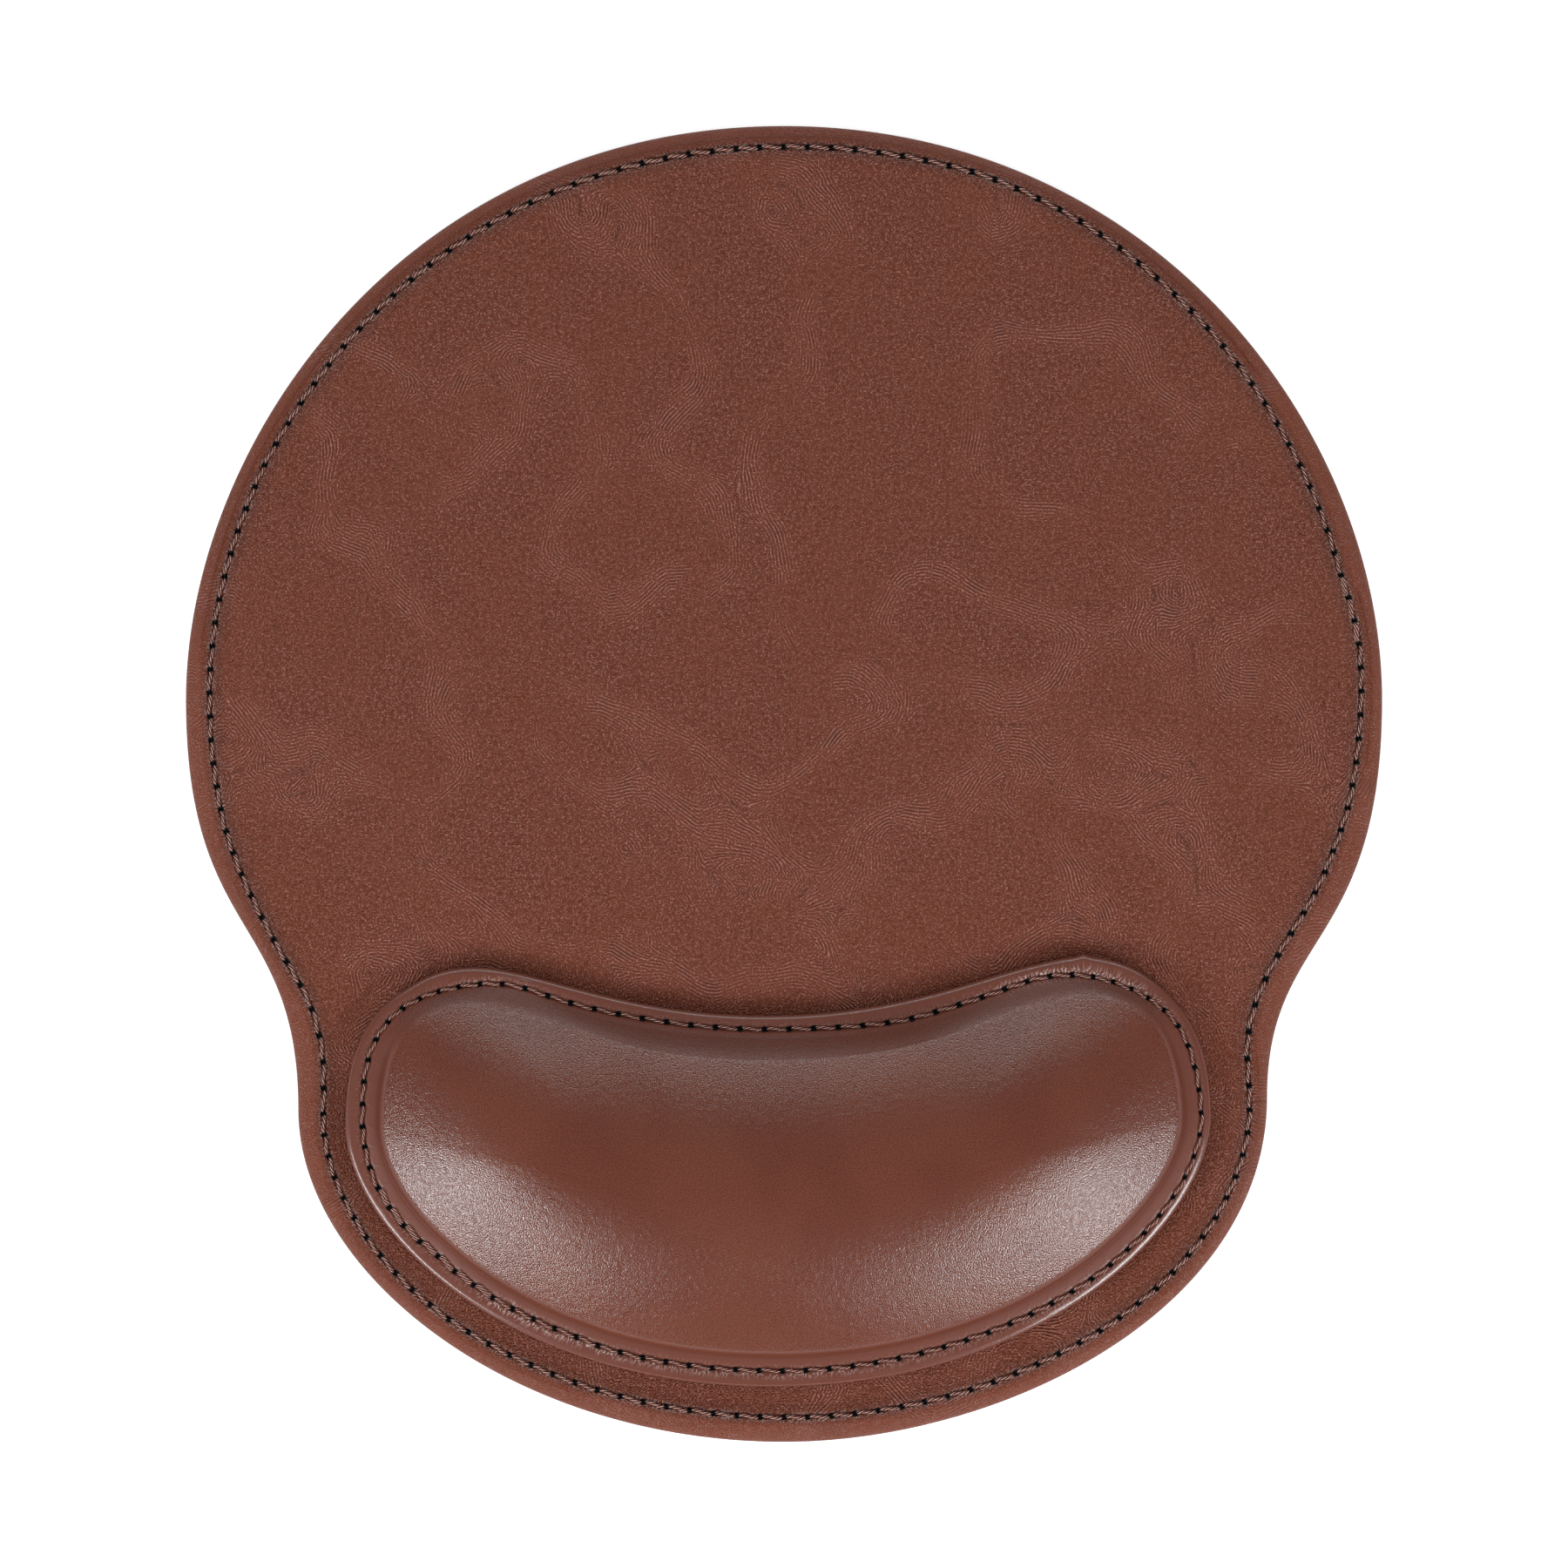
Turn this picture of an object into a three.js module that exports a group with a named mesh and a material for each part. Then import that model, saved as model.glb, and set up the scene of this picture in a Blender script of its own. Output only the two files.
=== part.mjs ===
// Leather mouse pad with a stitched wrist rest.
// Millimetres, +Z up, +Y towards the back of the desk, +X to the right of the person using it.
// The origin is the middle of the underside, so the pad stands on z = 0.
//
// The pad is a foam core wrapped in leather whose edge is turned under, with a non-slip sheet
// sewn to the underside. The wrist rest is made the same way round a board and a moulded foam
// cushion, and a bonding film holds it on the pad. Nothing on the pad moves.
import * as THREE from 'three';

// Pad outline, seen from above. Heights along Y are measured from the front edge.
const padWidth = 230;
const padDepth = 253;
const padWidestFromFront = 142.7;

// The narrower front lobe, cut by hand and so not quite alike on its two sides.
const leftLobeHalfWidth = 93.4;
const leftLobeFromFront = 63.9;
const rightLobeHalfWidth = 92.9;
const rightLobeFromFront = 66.3;

// How far each curve handle of the pad's outline reaches, as a share of the stretch it bends.
const leftPadCurveShares = {
  frontHandle: 0.56,
  lobeLower: 0.49,
  lobeUpper: 0.48,
  widestLower: 0.59,
  widestUpper: 0.44,
  backHandle: 0.64,
};
const rightPadCurveShares = {
  frontHandle: 0.45,
  lobeLower: 0.62,
  lobeUpper: 0.42,
  widestLower: 0.63,
  widestUpper: 0.47,
  backHandle: 0.62,
};

// Layers of the pad.
const baseThickness = 1.2;
const coreThickness = 1.9;
const padLeatherThickness = 0.9;
const padHemWidth = 13;
const padRimRound = 2;
const baseInset = 1.6;
const coreClearance = 0.3;

// Seam round the pad.
const padSeamInset = 4.4;
const padStitchPitch = 4.56;
const padThreadRadius = 0.38;
const padBobbinRadius = 0.25;

// Outline of the wrist rest, a crescent. Heights along Y are measured from its front edge.
const restToSeamSide = 5.75;
const restToSeamFront = 6.6;
const restDepth = 81.4;
const restDip = 10.2;
const restWidestFromFront = 50.9;
const restCornerWidth = 24.7;
const restCurveShares = {
  frontHandle: 0.64,
  widestLower: 0.37,
  widestUpper: 0.39,
  cornerOuter: 0.85,
  cornerInner: 0.215,
  dipHandle: 0.505,
};

// The rest lies midway between the lobe's sides, a little turned because it was laid by hand.
const restTurnDegrees = 0.95;

// Layers of the wrist rest.
const bondThickness = 0.3;
const bondToSeam = 2.5;
const backingThickness = 0.8;
const backingInset = 1.5;
const boardThickness = 1.5;
const restLeatherThickness = 0.8;
const restHemWidth = 9;
const restRimRound = 1.2;
const boardClearance = 0.3;
const cushionClearance = 0.3;

// Seam round the cushion.
const restSeamInset = 2.9;
const restSeamSideShift = 0.5;
const restStitchPitch = 4.4;
const restThreadRadius = 0.33;
const restBobbinRadius = 0.2;

// Cushion, measured above the leather at its seam.
const cushionHeight = 12.6;
const cushionWallHeight = 4.4;
const cushionWallWidth = 4.6;
const spineEndFromSide = 38;
const spineRise = 8.5;

// How much of the way from the wall to the spine the cushion's flat top leaves out.
const crownReachShare = 0.86;
const crownTravelShares = [1, 0.7, 0.42, 0.2, 0.07];
const crownPower = 2.2;
const wallShares = [
  [1, 1],
  [0.78, 0.62],
];
const wallFootWidthShare = 0.57;
const wallFootHeightShare = 0.28;

// The groove that a tight seam presses into a sheet.
const seamPressDepth = 0.45;
const restSeamPressDepth = 0.35;
const seamSideClearance = 0.3;
const seamSlopeWidth = 0.5;
const threadClearance = 0.12;
const stitchArch = 0.22;

// How finely the outlines are drawn: points on each curve of the outline.
const padPointsPerCurve = 18;
const restPointsPerCurve = 8;
const rimAngles = [90, 60, 30, 0, -45, -90];
const restRimAngles = [90, 45, 0, -90];

// Levels of the pad, from the desk up.
const baseTop = baseThickness;
const padHemTop = baseTop + padLeatherThickness;
const coreTop = baseTop + coreThickness;
const padTop = coreTop + padLeatherThickness;

// Levels of the wrist rest, from the pad's top up.
const bondTop = bondThickness;
const backingTop = bondTop + backingThickness;
const restHemTop = backingTop + restLeatherThickness;
const boardTop = backingTop + boardThickness;
const flangeTop = boardTop + restLeatherThickness;
const crownTop = flangeTop + cushionHeight;
const wallTop = flangeTop + cushionWallHeight;

// Sizes of the wrist rest that follow from the pad's lobe and seam.
const restSideMargin = padSeamInset + restToSeamSide;
const restFrontMargin = padSeamInset + restToSeamFront;
const restHalfWidth = (leftLobeHalfWidth + rightLobeHalfWidth) / 2 - restSideMargin;
const restMiddle = (rightLobeHalfWidth - leftLobeHalfWidth) / 2;

// Materials.
function finish(colour, roughness) {
  return new THREE.MeshStandardMaterial({ color: colour, roughness, metalness: 0 });
}

const leather = finish(0x76473c, 0.55);
const cushionLeather = finish(0x74453a, 0.4);
const threadFinish = finish(0x5a3630, 0.7);
const rubberFinish = finish(0x2b2523, 0.9);
const coreFinish = finish(0x3a3a3c, 0.9);
const boardFinish = finish(0xa08664, 0.9);
const backingFinish = finish(0x4a2f28, 0.8);
const foamFinish = finish(0xe8e2d0, 0.95);
const bondFinish = finish(0xd8d2c0, 0.6);

// Joins one side's curves, drawn from front to back, to the other's, drawn from back to front.
function closedOutline(rightCurves, leftCurves) {
  const outline = new THREE.CurvePath();
  for (const corners of rightCurves) {
    outline.add(new THREE.CubicBezierCurve(...corners));
  }
  for (const corners of [...leftCurves].reverse()) {
    outline.add(new THREE.CubicBezierCurve(...[...corners].reverse()));
  }
  return outline;
}

// One side of the pad: front to lobe, lobe to the widest place, and widest place to the back.
function padSide(sign, lobeHalfWidth, lobeFromFront, shares) {
  const point = (x, y) => new THREE.Vector2(sign * x, y);
  const half = padWidth / 2;
  const waist = padWidestFromFront - lobeFromFront;
  const back = padDepth - padWidestFromFront;
  return [
    [
      point(0, 0),
      point(lobeHalfWidth * shares.frontHandle, 0),
      point(lobeHalfWidth, lobeFromFront * (1 - shares.lobeLower)),
      point(lobeHalfWidth, lobeFromFront),
    ],
    [
      point(lobeHalfWidth, lobeFromFront),
      point(lobeHalfWidth, lobeFromFront + waist * shares.lobeUpper),
      point(half, padWidestFromFront - waist * shares.widestLower),
      point(half, padWidestFromFront),
    ],
    [
      point(half, padWidestFromFront),
      point(half, padWidestFromFront + back * shares.widestUpper),
      point(half * shares.backHandle, padDepth),
      point(0, padDepth),
    ],
  ];
}

// One side of the crescent: front to the widest place, round the corner, and down to the dip.
function restSide(sign) {
  const point = (x, y) => new THREE.Vector2(sign * x, y);
  const shares = restCurveShares;
  const cornerX = restHalfWidth - restCornerWidth;
  const cornerRise = restDepth - restWidestFromFront;
  const dipY = restDepth - restDip;
  return [
    [
      point(0, 0),
      point(restHalfWidth * shares.frontHandle, 0),
      point(restHalfWidth, restWidestFromFront * (1 - shares.widestLower)),
      point(restHalfWidth, restWidestFromFront),
    ],
    [
      point(restHalfWidth, restWidestFromFront),
      point(restHalfWidth, restWidestFromFront + cornerRise * shares.widestUpper),
      point(cornerX + restCornerWidth * shares.cornerOuter, restDepth),
      point(cornerX, restDepth),
    ],
    [
      point(cornerX, restDepth),
      point(cornerX * (1 - shares.cornerInner), restDepth),
      point(cornerX * shares.dipHandle, dipY),
      point(0, dipY),
    ],
  ];
}

const padOutline = closedOutline(
  padSide(1, rightLobeHalfWidth, rightLobeFromFront, rightPadCurveShares),
  padSide(-1, leftLobeHalfWidth, leftLobeFromFront, leftPadCurveShares),
);
const restOutline = closedOutline(restSide(1), restSide(-1));

// Points on a closed outline without the last, which repeats the first.
function openLoop(points) {
  return points.slice(0, -1);
}

const padPoints = openLoop(padOutline.getPoints(padPointsPerCurve));
const restPoints = openLoop(restOutline.getPoints(restPointsPerCurve));

// Moves an anticlockwise loop inwards by a distance, so that every edge stays parallel.
function inset(points, distance) {
  return points.map((here, i) => {
    const before = points[(i + points.length - 1) % points.length];
    const after = points[(i + 1) % points.length];
    const edgeIn = here.clone().sub(before).normalize();
    const edgeOut = after.clone().sub(here).normalize();
    const inwardIn = new THREE.Vector2(-edgeIn.y, edgeIn.x);
    const inwardOut = new THREE.Vector2(-edgeOut.y, edgeOut.x);
    const mitre = inwardIn.clone().add(inwardOut).normalize();
    return here.clone().addScaledVector(mitre, distance / mitre.dot(inwardIn));
  });
}

function shifted(points, x) {
  return points.map((p) => new THREE.Vector2(p.x + x, p.y));
}

// A flat loop lifted to a height.
function ring(points, z) {
  return points.map((p) => new THREE.Vector3(p.x, p.y, z));
}

// Six times the volume that a list of triangles encloses, positive when they face out.
function signedVolume(points, triangles) {
  let total = 0;
  for (const [a, b, c] of triangles) {
    total += points[a].dot(new THREE.Vector3().crossVectors(points[b], points[c]));
  }
  return total;
}

function closedGeometry(points, triangles) {
  const outward = signedVolume(points, triangles) > 0;
  const index = outward ? triangles.flat() : triangles.flatMap(([a, b, c]) => [a, c, b]);
  const geometry = new THREE.BufferGeometry();
  geometry.setFromPoints(points);
  geometry.setIndex(index);
  geometry.computeVertexNormals();
  return geometry;
}

// The two triangles between each pair of neighbours on two rings of equal count.
function band(firstStart, secondStart, count) {
  const triangles = [];
  for (let i = 0; i < count; i += 1) {
    const next = (i + 1) % count;
    triangles.push([firstStart + i, firstStart + next, secondStart + next]);
    triangles.push([firstStart + i, secondStart + next, secondStart + i]);
  }
  return triangles;
}

// A solid lofted through rings, with its first and last ring closed by flat faces.
function ringSolid(rings) {
  const count = rings[0].length;
  const points = rings.flat();
  const triangles = [];
  for (let r = 0; r + 1 < rings.length; r += 1) {
    triangles.push(...band(r * count, (r + 1) * count, count));
  }
  const flat = (loop) => loop.map((p) => new THREE.Vector2(p.x, p.y));
  const lastStart = points.length - count;
  for (const [a, b, c] of THREE.ShapeUtils.triangulateShape(flat(rings[0]), [])) {
    triangles.push([c, b, a]);
  }
  for (const [a, b, c] of THREE.ShapeUtils.triangulateShape(flat(rings.at(-1)), [])) {
    triangles.push([lastStart + a, lastStart + b, lastStart + c]);
  }
  return closedGeometry(points, triangles);
}

// Rings along a rounded rim: half an ellipse from the upper level round to the lower one.
function rimRings(points, angles, round, upper, lower) {
  const middle = (upper + lower) / 2;
  const halfHeight = (upper - lower) / 2;
  return angles.map((degrees) => {
    const angle = THREE.MathUtils.degToRad(degrees);
    const loop = inset(points, round * (1 - Math.cos(angle)));
    return ring(loop, middle + halfHeight * Math.sin(angle));
  });
}

// Rings across the groove that a seam presses into a face, from the inside outwards.
function grooveRings(points, seamInset, threadRadius, face, bottom) {
  const halfWidth = threadRadius + seamSideClearance;
  const slope = halfWidth + seamSlopeWidth;
  return [
    ring(inset(points, seamInset + slope), face),
    ring(inset(points, seamInset + halfWidth), bottom),
    ring(inset(points, seamInset - halfWidth), bottom),
    ring(inset(points, seamInset - slope), face),
  ];
}

// An unbroken thread along a seam. Each stitch arches between two needle holes.
function stitchedThread(loop, radius, z, arch) {
  const outer = inset(loop, -radius);
  const inner = inset(loop, radius);
  const rings = loop.map((p, i) => {
    const height = z + (i % 2 === 1 ? arch : 0);
    return [
      new THREE.Vector3(outer[i].x, outer[i].y, height),
      new THREE.Vector3(p.x, p.y, height + radius),
      new THREE.Vector3(inner[i].x, inner[i].y, height),
      new THREE.Vector3(p.x, p.y, height - radius),
    ];
  });
  const sides = rings[0].length;
  const triangles = [];
  for (let i = 0; i < rings.length; i += 1) {
    const next = (i + 1) % rings.length;
    triangles.push(...band(i * sides, next * sides, sides));
  }
  return closedGeometry(rings.flat(), triangles);
}

// Points along a seam, with stepsPerStitch of them for each stitch of about the given pitch.
function seamLoop(outline, seamInset, pitch, stepsPerStitch) {
  const rough = openLoop(outline.getSpacedPoints(padPointsPerCurve * outline.curves.length));
  const seam = inset(rough, seamInset);
  const length = seam.reduce((sum, p, i) => sum + p.distanceTo(seam[(i + 1) % seam.length]), 0);
  const stitches = Math.round(length / pitch);
  const fine = openLoop(outline.getSpacedPoints(stitches * stepsPerStitch));
  return inset(fine, seamInset);
}

// Pad
function nonSlipBase() {
  const grooveTop = padBobbinRadius * 2 + threadClearance * 2;
  return ringSolid([
    ...grooveRings(padPoints, padSeamInset, padBobbinRadius, 0, grooveTop),
    ring(inset(padPoints, baseInset), 0),
    ring(inset(padPoints, baseInset), baseTop),
  ]);
}

function padCore() {
  const overHem = inset(padPoints, padLeatherThickness + coreClearance);
  const insideHem = inset(padPoints, padHemWidth + coreClearance);
  return ringSolid([
    ring(insideHem, baseTop),
    ring(insideHem, padHemTop),
    ring(overHem, padHemTop),
    ring(overHem, coreTop),
  ]);
}

function padLeather() {
  const inside = inset(padPoints, padLeatherThickness);
  const hemEdge = inset(padPoints, padHemWidth);
  const pressed = padTop - seamPressDepth;
  return ringSolid([
    ...grooveRings(padPoints, padSeamInset, padThreadRadius, padTop, pressed),
    ...rimRings(padPoints, rimAngles, padRimRound, padTop, baseTop),
    ring(hemEdge, baseTop),
    ring(hemEdge, padHemTop),
    ring(inside, padHemTop),
    ring(inside, coreTop),
  ]);
}

function padNeedleThread() {
  const loop = seamLoop(padOutline, padSeamInset, padStitchPitch, 2);
  const height = padTop - seamPressDepth + threadClearance + padThreadRadius;
  return stitchedThread(loop, padThreadRadius, height, stitchArch);
}

function padBobbinThread() {
  const loop = seamLoop(padOutline, padSeamInset, padStitchPitch, 1);
  return stitchedThread(loop, padBobbinRadius, threadClearance + padBobbinRadius, 0);
}

// Wrist rest
const restSeamPoints = shifted(restPoints, restSeamSideShift);

// The line along the middle of the cushion that its crown is drawn towards.
function spinePoint(p) {
  const half = restHalfWidth - spineEndFromSide;
  const x = (p.x * half) / restHalfWidth;
  const middle = (restDepth - restDip) / 2;
  return new THREE.Vector2(x, middle + spineRise * (x / half) ** 2);
}

// Rings from the cushion's flat top down to the top of its wall, set in and lowered alike.
function crownRings(extraInset, drop) {
  const foot = inset(restSeamPoints, restSeamInset + cushionWallWidth + extraInset);
  const spine = restSeamPoints.map(spinePoint);
  const rings = crownTravelShares.map((travel) => {
    const rise = 1 - (1 - travel) ** crownPower;
    const loop = foot.map((p, i) => p.clone().lerp(spine[i], travel * crownReachShare));
    return ring(loop, wallTop + (crownTop - wallTop) * rise - drop);
  });
  const walls = wallShares.map(([width, height]) => {
    const wallInset = restSeamInset + cushionWallWidth * width + extraInset;
    const loop = inset(restSeamPoints, wallInset);
    return ring(loop, flangeTop + cushionWallHeight * height - drop);
  });
  return [...rings, ...walls];
}

// The loop where a cushion's wall meets the sheet it stands on.
function wallFoot(extraInset) {
  const footInset = restSeamInset + cushionWallWidth * wallFootWidthShare + extraInset;
  return inset(restSeamPoints, footInset);
}

function restBond() {
  const loop = inset(restPoints, restSeamInset + bondToSeam);
  return ringSolid([ring(loop, 0), ring(loop, bondTop)]);
}

function restBacking() {
  const threadRoom = restBobbinRadius * 2 + threadClearance * 2;
  const edge = inset(restPoints, backingInset);
  const groove = grooveRings(
    restSeamPoints,
    restSeamInset,
    restBobbinRadius,
    bondTop,
    Math.max(bondTop, threadRoom),
  );
  return ringSolid([...groove, ring(edge, bondTop), ring(edge, backingTop)]);
}

function restBoard() {
  const overHem = inset(restPoints, restLeatherThickness + boardClearance);
  const insideHem = inset(restPoints, restHemWidth + boardClearance);
  return ringSolid([
    ring(insideHem, backingTop),
    ring(insideHem, restHemTop),
    ring(overHem, restHemTop),
    ring(overHem, boardTop),
  ]);
}

function restFoam() {
  const gap = restLeatherThickness + cushionClearance;
  return ringSolid([...crownRings(gap, gap), ring(wallFoot(gap), boardTop)]);
}

function restLeather() {
  const inside = inset(restPoints, restLeatherThickness);
  const hemEdge = inset(restPoints, restHemWidth);
  const pressed = flangeTop - restSeamPressDepth;
  const foot = ring(wallFoot(0), flangeTop + cushionWallHeight * wallFootHeightShare);
  const groove = grooveRings(restSeamPoints, restSeamInset, restThreadRadius, flangeTop, pressed);
  const innerCushion = crownRings(restLeatherThickness, restLeatherThickness);
  return ringSolid([
    ...crownRings(0, 0),
    foot,
    ...groove.slice(1),
    ...rimRings(restPoints, restRimAngles, restRimRound, flangeTop, backingTop),
    ring(hemEdge, backingTop),
    ring(hemEdge, restHemTop),
    ring(inside, restHemTop),
    ring(inside, boardTop),
    ring(wallFoot(restLeatherThickness), boardTop),
    ...innerCushion.reverse(),
  ]);
}

function restNeedleThread() {
  const loop = seamLoop(restOutline, restSeamInset, restStitchPitch, 2);
  const height = flangeTop - restSeamPressDepth + threadClearance + restThreadRadius;
  const seam = shifted(loop, restSeamSideShift);
  return stitchedThread(seam, restThreadRadius, height, stitchArch);
}

function restBobbinThread() {
  const loop = seamLoop(restOutline, restSeamInset, restStitchPitch, 1);
  const seam = shifted(loop, restSeamSideShift);
  return stitchedThread(seam, restBobbinRadius, threadClearance + restBobbinRadius, 0);
}

// Assembly
function piece(name, geometry, material) {
  const mesh = new THREE.Mesh(geometry, material);
  mesh.name = name;
  return mesh;
}

const pad = new THREE.Group();
pad.add(
  piece('non_slip_base', nonSlipBase(), rubberFinish),
  piece('pad_core_sheet', padCore(), coreFinish),
  piece('pad_leather_cover', padLeather(), leather),
  piece('pad_needle_thread', padNeedleThread(), threadFinish),
  piece('pad_bobbin_thread', padBobbinThread(), threadFinish),
);

const wristRest = new THREE.Group();
wristRest.add(
  piece('rest_bonding_film', restBond(), bondFinish),
  piece('rest_backing_sheet', restBacking(), backingFinish),
  piece('rest_board', restBoard(), boardFinish),
  piece('rest_foam_cushion', restFoam(), foamFinish),
  piece('rest_leather_cover', restLeather(), cushionLeather),
  piece('rest_needle_thread', restNeedleThread(), threadFinish),
  piece('rest_bobbin_thread', restBobbinThread(), threadFinish),
);
wristRest.position.set(restMiddle, restFrontMargin, padTop);
wristRest.rotation.z = THREE.MathUtils.degToRad(restTurnDegrees);

const mousePad = new THREE.Group();
mousePad.add(pad, wristRest);
mousePad.position.y = -padDepth / 2;

export default mousePad;
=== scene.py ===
import math

import bpy
import numpy as np
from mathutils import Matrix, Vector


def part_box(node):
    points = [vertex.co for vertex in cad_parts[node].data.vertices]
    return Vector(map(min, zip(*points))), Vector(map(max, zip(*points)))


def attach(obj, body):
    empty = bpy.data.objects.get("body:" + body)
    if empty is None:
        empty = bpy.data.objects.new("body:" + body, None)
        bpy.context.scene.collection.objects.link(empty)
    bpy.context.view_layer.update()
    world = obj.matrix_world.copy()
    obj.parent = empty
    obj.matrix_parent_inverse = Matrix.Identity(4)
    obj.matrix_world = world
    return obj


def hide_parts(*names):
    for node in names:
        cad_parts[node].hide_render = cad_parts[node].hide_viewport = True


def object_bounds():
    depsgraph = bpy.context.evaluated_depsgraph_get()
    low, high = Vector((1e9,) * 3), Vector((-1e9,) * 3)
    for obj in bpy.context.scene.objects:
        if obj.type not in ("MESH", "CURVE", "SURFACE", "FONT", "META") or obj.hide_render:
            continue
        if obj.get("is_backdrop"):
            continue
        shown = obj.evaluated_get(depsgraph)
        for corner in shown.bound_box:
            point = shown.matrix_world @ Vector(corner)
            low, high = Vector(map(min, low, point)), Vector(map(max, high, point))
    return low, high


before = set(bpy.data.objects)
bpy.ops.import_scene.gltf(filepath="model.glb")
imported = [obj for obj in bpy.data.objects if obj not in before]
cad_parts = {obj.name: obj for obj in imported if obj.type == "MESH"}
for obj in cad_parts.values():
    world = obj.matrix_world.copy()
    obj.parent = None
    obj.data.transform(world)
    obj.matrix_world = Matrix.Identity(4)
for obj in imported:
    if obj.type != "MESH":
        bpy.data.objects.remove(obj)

MM = 0.001
cad_box = [list(corner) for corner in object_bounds()]


# Camera. The photograph looks straight down at the pad from about a metre, and its frame
# is 301 mm wide at the height of the pad's top. The pad's box is centred in it.
PHOTO_FRAME = 301.3 * MM
FRAME_LEVEL = 3.0 * MM
CAMERA_HEIGHT = 1.15
SENSOR = 36.0

camera_data = bpy.data.cameras.new("straight_down_camera")
camera_data.sensor_width = SENSOR
camera_data.lens = SENSOR * (CAMERA_HEIGHT - FRAME_LEVEL) / PHOTO_FRAME
camera = bpy.data.objects.new("straight_down_camera", camera_data)
camera.location = (0, 0, CAMERA_HEIGHT)
bpy.context.collection.objects.link(camera)
bpy.context.scene.camera = camera
bpy.context.scene.view_settings.view_transform = "Standard"


# Non-slip base. A thin sheet of dark rubber, cut a little smaller than the pad and sewn on
# over the leather's turned hem. Its underside has a fine moulded dimple and a pressed seam.
PAD_WIDTH = 230.0 * MM
PAD_DEPTH = 253.0 * MM
PAD_WIDEST = 142.7 * MM
LOBE_HALF_WIDTHS = {"right": 92.9 * MM, "left": 93.4 * MM}
LOBE_HEIGHTS = {"right": 66.3 * MM, "left": 63.9 * MM}
PAD_CURVE_SHARES = {
    "right": (0.45, 0.62, 0.42, 0.63, 0.47, 0.62),
    "left": (0.56, 0.49, 0.48, 0.59, 0.44, 0.64),
}
BASE_INSET = 1.6 * MM
BASE_THICKNESS = 1.2 * MM
BASE_EDGE_ROUND = 0.3 * MM
PAD_STITCHES = 162
# How far in the hand-guided seam runs: places round the edge from the front, and insets there.
PAD_SEAM_RUN = np.array([
    (0, 4.95), (38, 4.36), (72, 3.98), (91, 3.8), (120, 3.4), (128, 3.6), (134.5, 4.75), (140, 5.2),
    (160, 5.3), (176, 5.45), (187, 4.8), (201, 4.4), (218, 3.9), (227.5, 4.5), (233, 5.0), (268, 4.75),
    (306, 4.0), (325, 3.5), (344, 3.3), (357, 3.75), (383, 4.2), (440, 4.2), (510, 4.0), (545, 4.55),
    (575, 4.9), (593, 4.6), (603, 4.0), (612, 3.5), (617, 4.0), (624, 5.1), (631.5, 5.5), (645, 4.9),
    (680, 4.1), (694, 4.0), (727, 4.65), (746, 4.9),
]) * MM
BASE_COLOUR = (0.030, 0.024, 0.022, 1)
BASE_PORE_COLOUR = (0.014, 0.011, 0.010, 1)
BASE_DUST_COLOUR = (0.10, 0.085, 0.075, 1)
DIMPLE_DEPTH = 0.12 * MM
SEAM_EVENING = 2.4 * MM
# Every place on the edge can be reached from here in a straight line over the sheet.
FIELD_MIDDLE = np.array([0.0, 0.06 * PAD_DEPTH])


def bezier(corners, steps):
    """Cubic curve: the four corners weighted by the Bernstein polynomials of t."""
    t = np.linspace(0, 1, steps, endpoint=False)[:, None]
    a, b, c, d = (np.array(p, float) for p in corners)
    return (1 - t) ** 3 * a + 3 * (1 - t) ** 2 * t * b + 3 * (1 - t) * t**2 * c + t**3 * d


def mirrored_loop(right, left, steps=400):
    """Right side's curves from front to back, then the left side's, negated in x, reversed."""
    curves = list(right)
    for corners in reversed(left):
        curves.append([(-x, y) for x, y in reversed(corners)])
    return np.vstack([bezier(corners, steps) for corners in curves])


def pad_side(side):
    """Three curves: front edge to lobe, lobe to widest place, widest place to back edge."""
    lobe, lobe_y = LOBE_HALF_WIDTHS[side], LOBE_HEIGHTS[side]
    front, lower, upper, widest_low, widest_up, back = PAD_CURVE_SHARES[side]
    half = PAD_WIDTH / 2
    waist, rest = PAD_WIDEST - lobe_y, PAD_DEPTH - PAD_WIDEST
    return [
        [(0, 0), (lobe * front, 0), (lobe, lobe_y * (1 - lower)), (lobe, lobe_y)],
        [(lobe, lobe_y), (lobe, lobe_y + waist * upper),
         (half, PAD_WIDEST - waist * widest_low), (half, PAD_WIDEST)],
        [(half, PAD_WIDEST), (half, PAD_WIDEST + rest * widest_up),
         (half * back, PAD_DEPTH), (0, PAD_DEPTH)],
    ]


def unit(vectors):
    """Each row divided by its length."""
    return vectors / np.linalg.norm(vectors, axis=1)[:, None]


def walk(loop, places):
    """Points and inward normals at shares, 0 to 1, of a closed loop's length."""
    closed = np.vstack([loop, loop[:1]])
    steps = np.hypot(*np.diff(closed, axis=0).T)
    along = np.concatenate([[0], np.cumsum(steps)])
    want = np.mod(places, 1.0) * along[-1]
    nudge = along[-1] * 1e-4

    def at(s):
        s = np.mod(s, along[-1])
        return np.stack([np.interp(s, along, closed[:, k]) for k in (0, 1)], axis=1)

    tangent = unit(at(want + nudge) - at(want - nudge))
    return at(want), np.stack([-tangent[:, 1], tangent[:, 0]], axis=1)


def loop_length(loop):
    """The steps from point to point of a closed loop, added up."""
    return np.hypot(*np.diff(np.vstack([loop, loop[:1]]), axis=0).T).sum()


def bell(away, width):
    """Gaussian bell: 1 at no distance away, and near 0 past twice the width."""
    return np.exp(-((away / width) ** 2))


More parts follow.
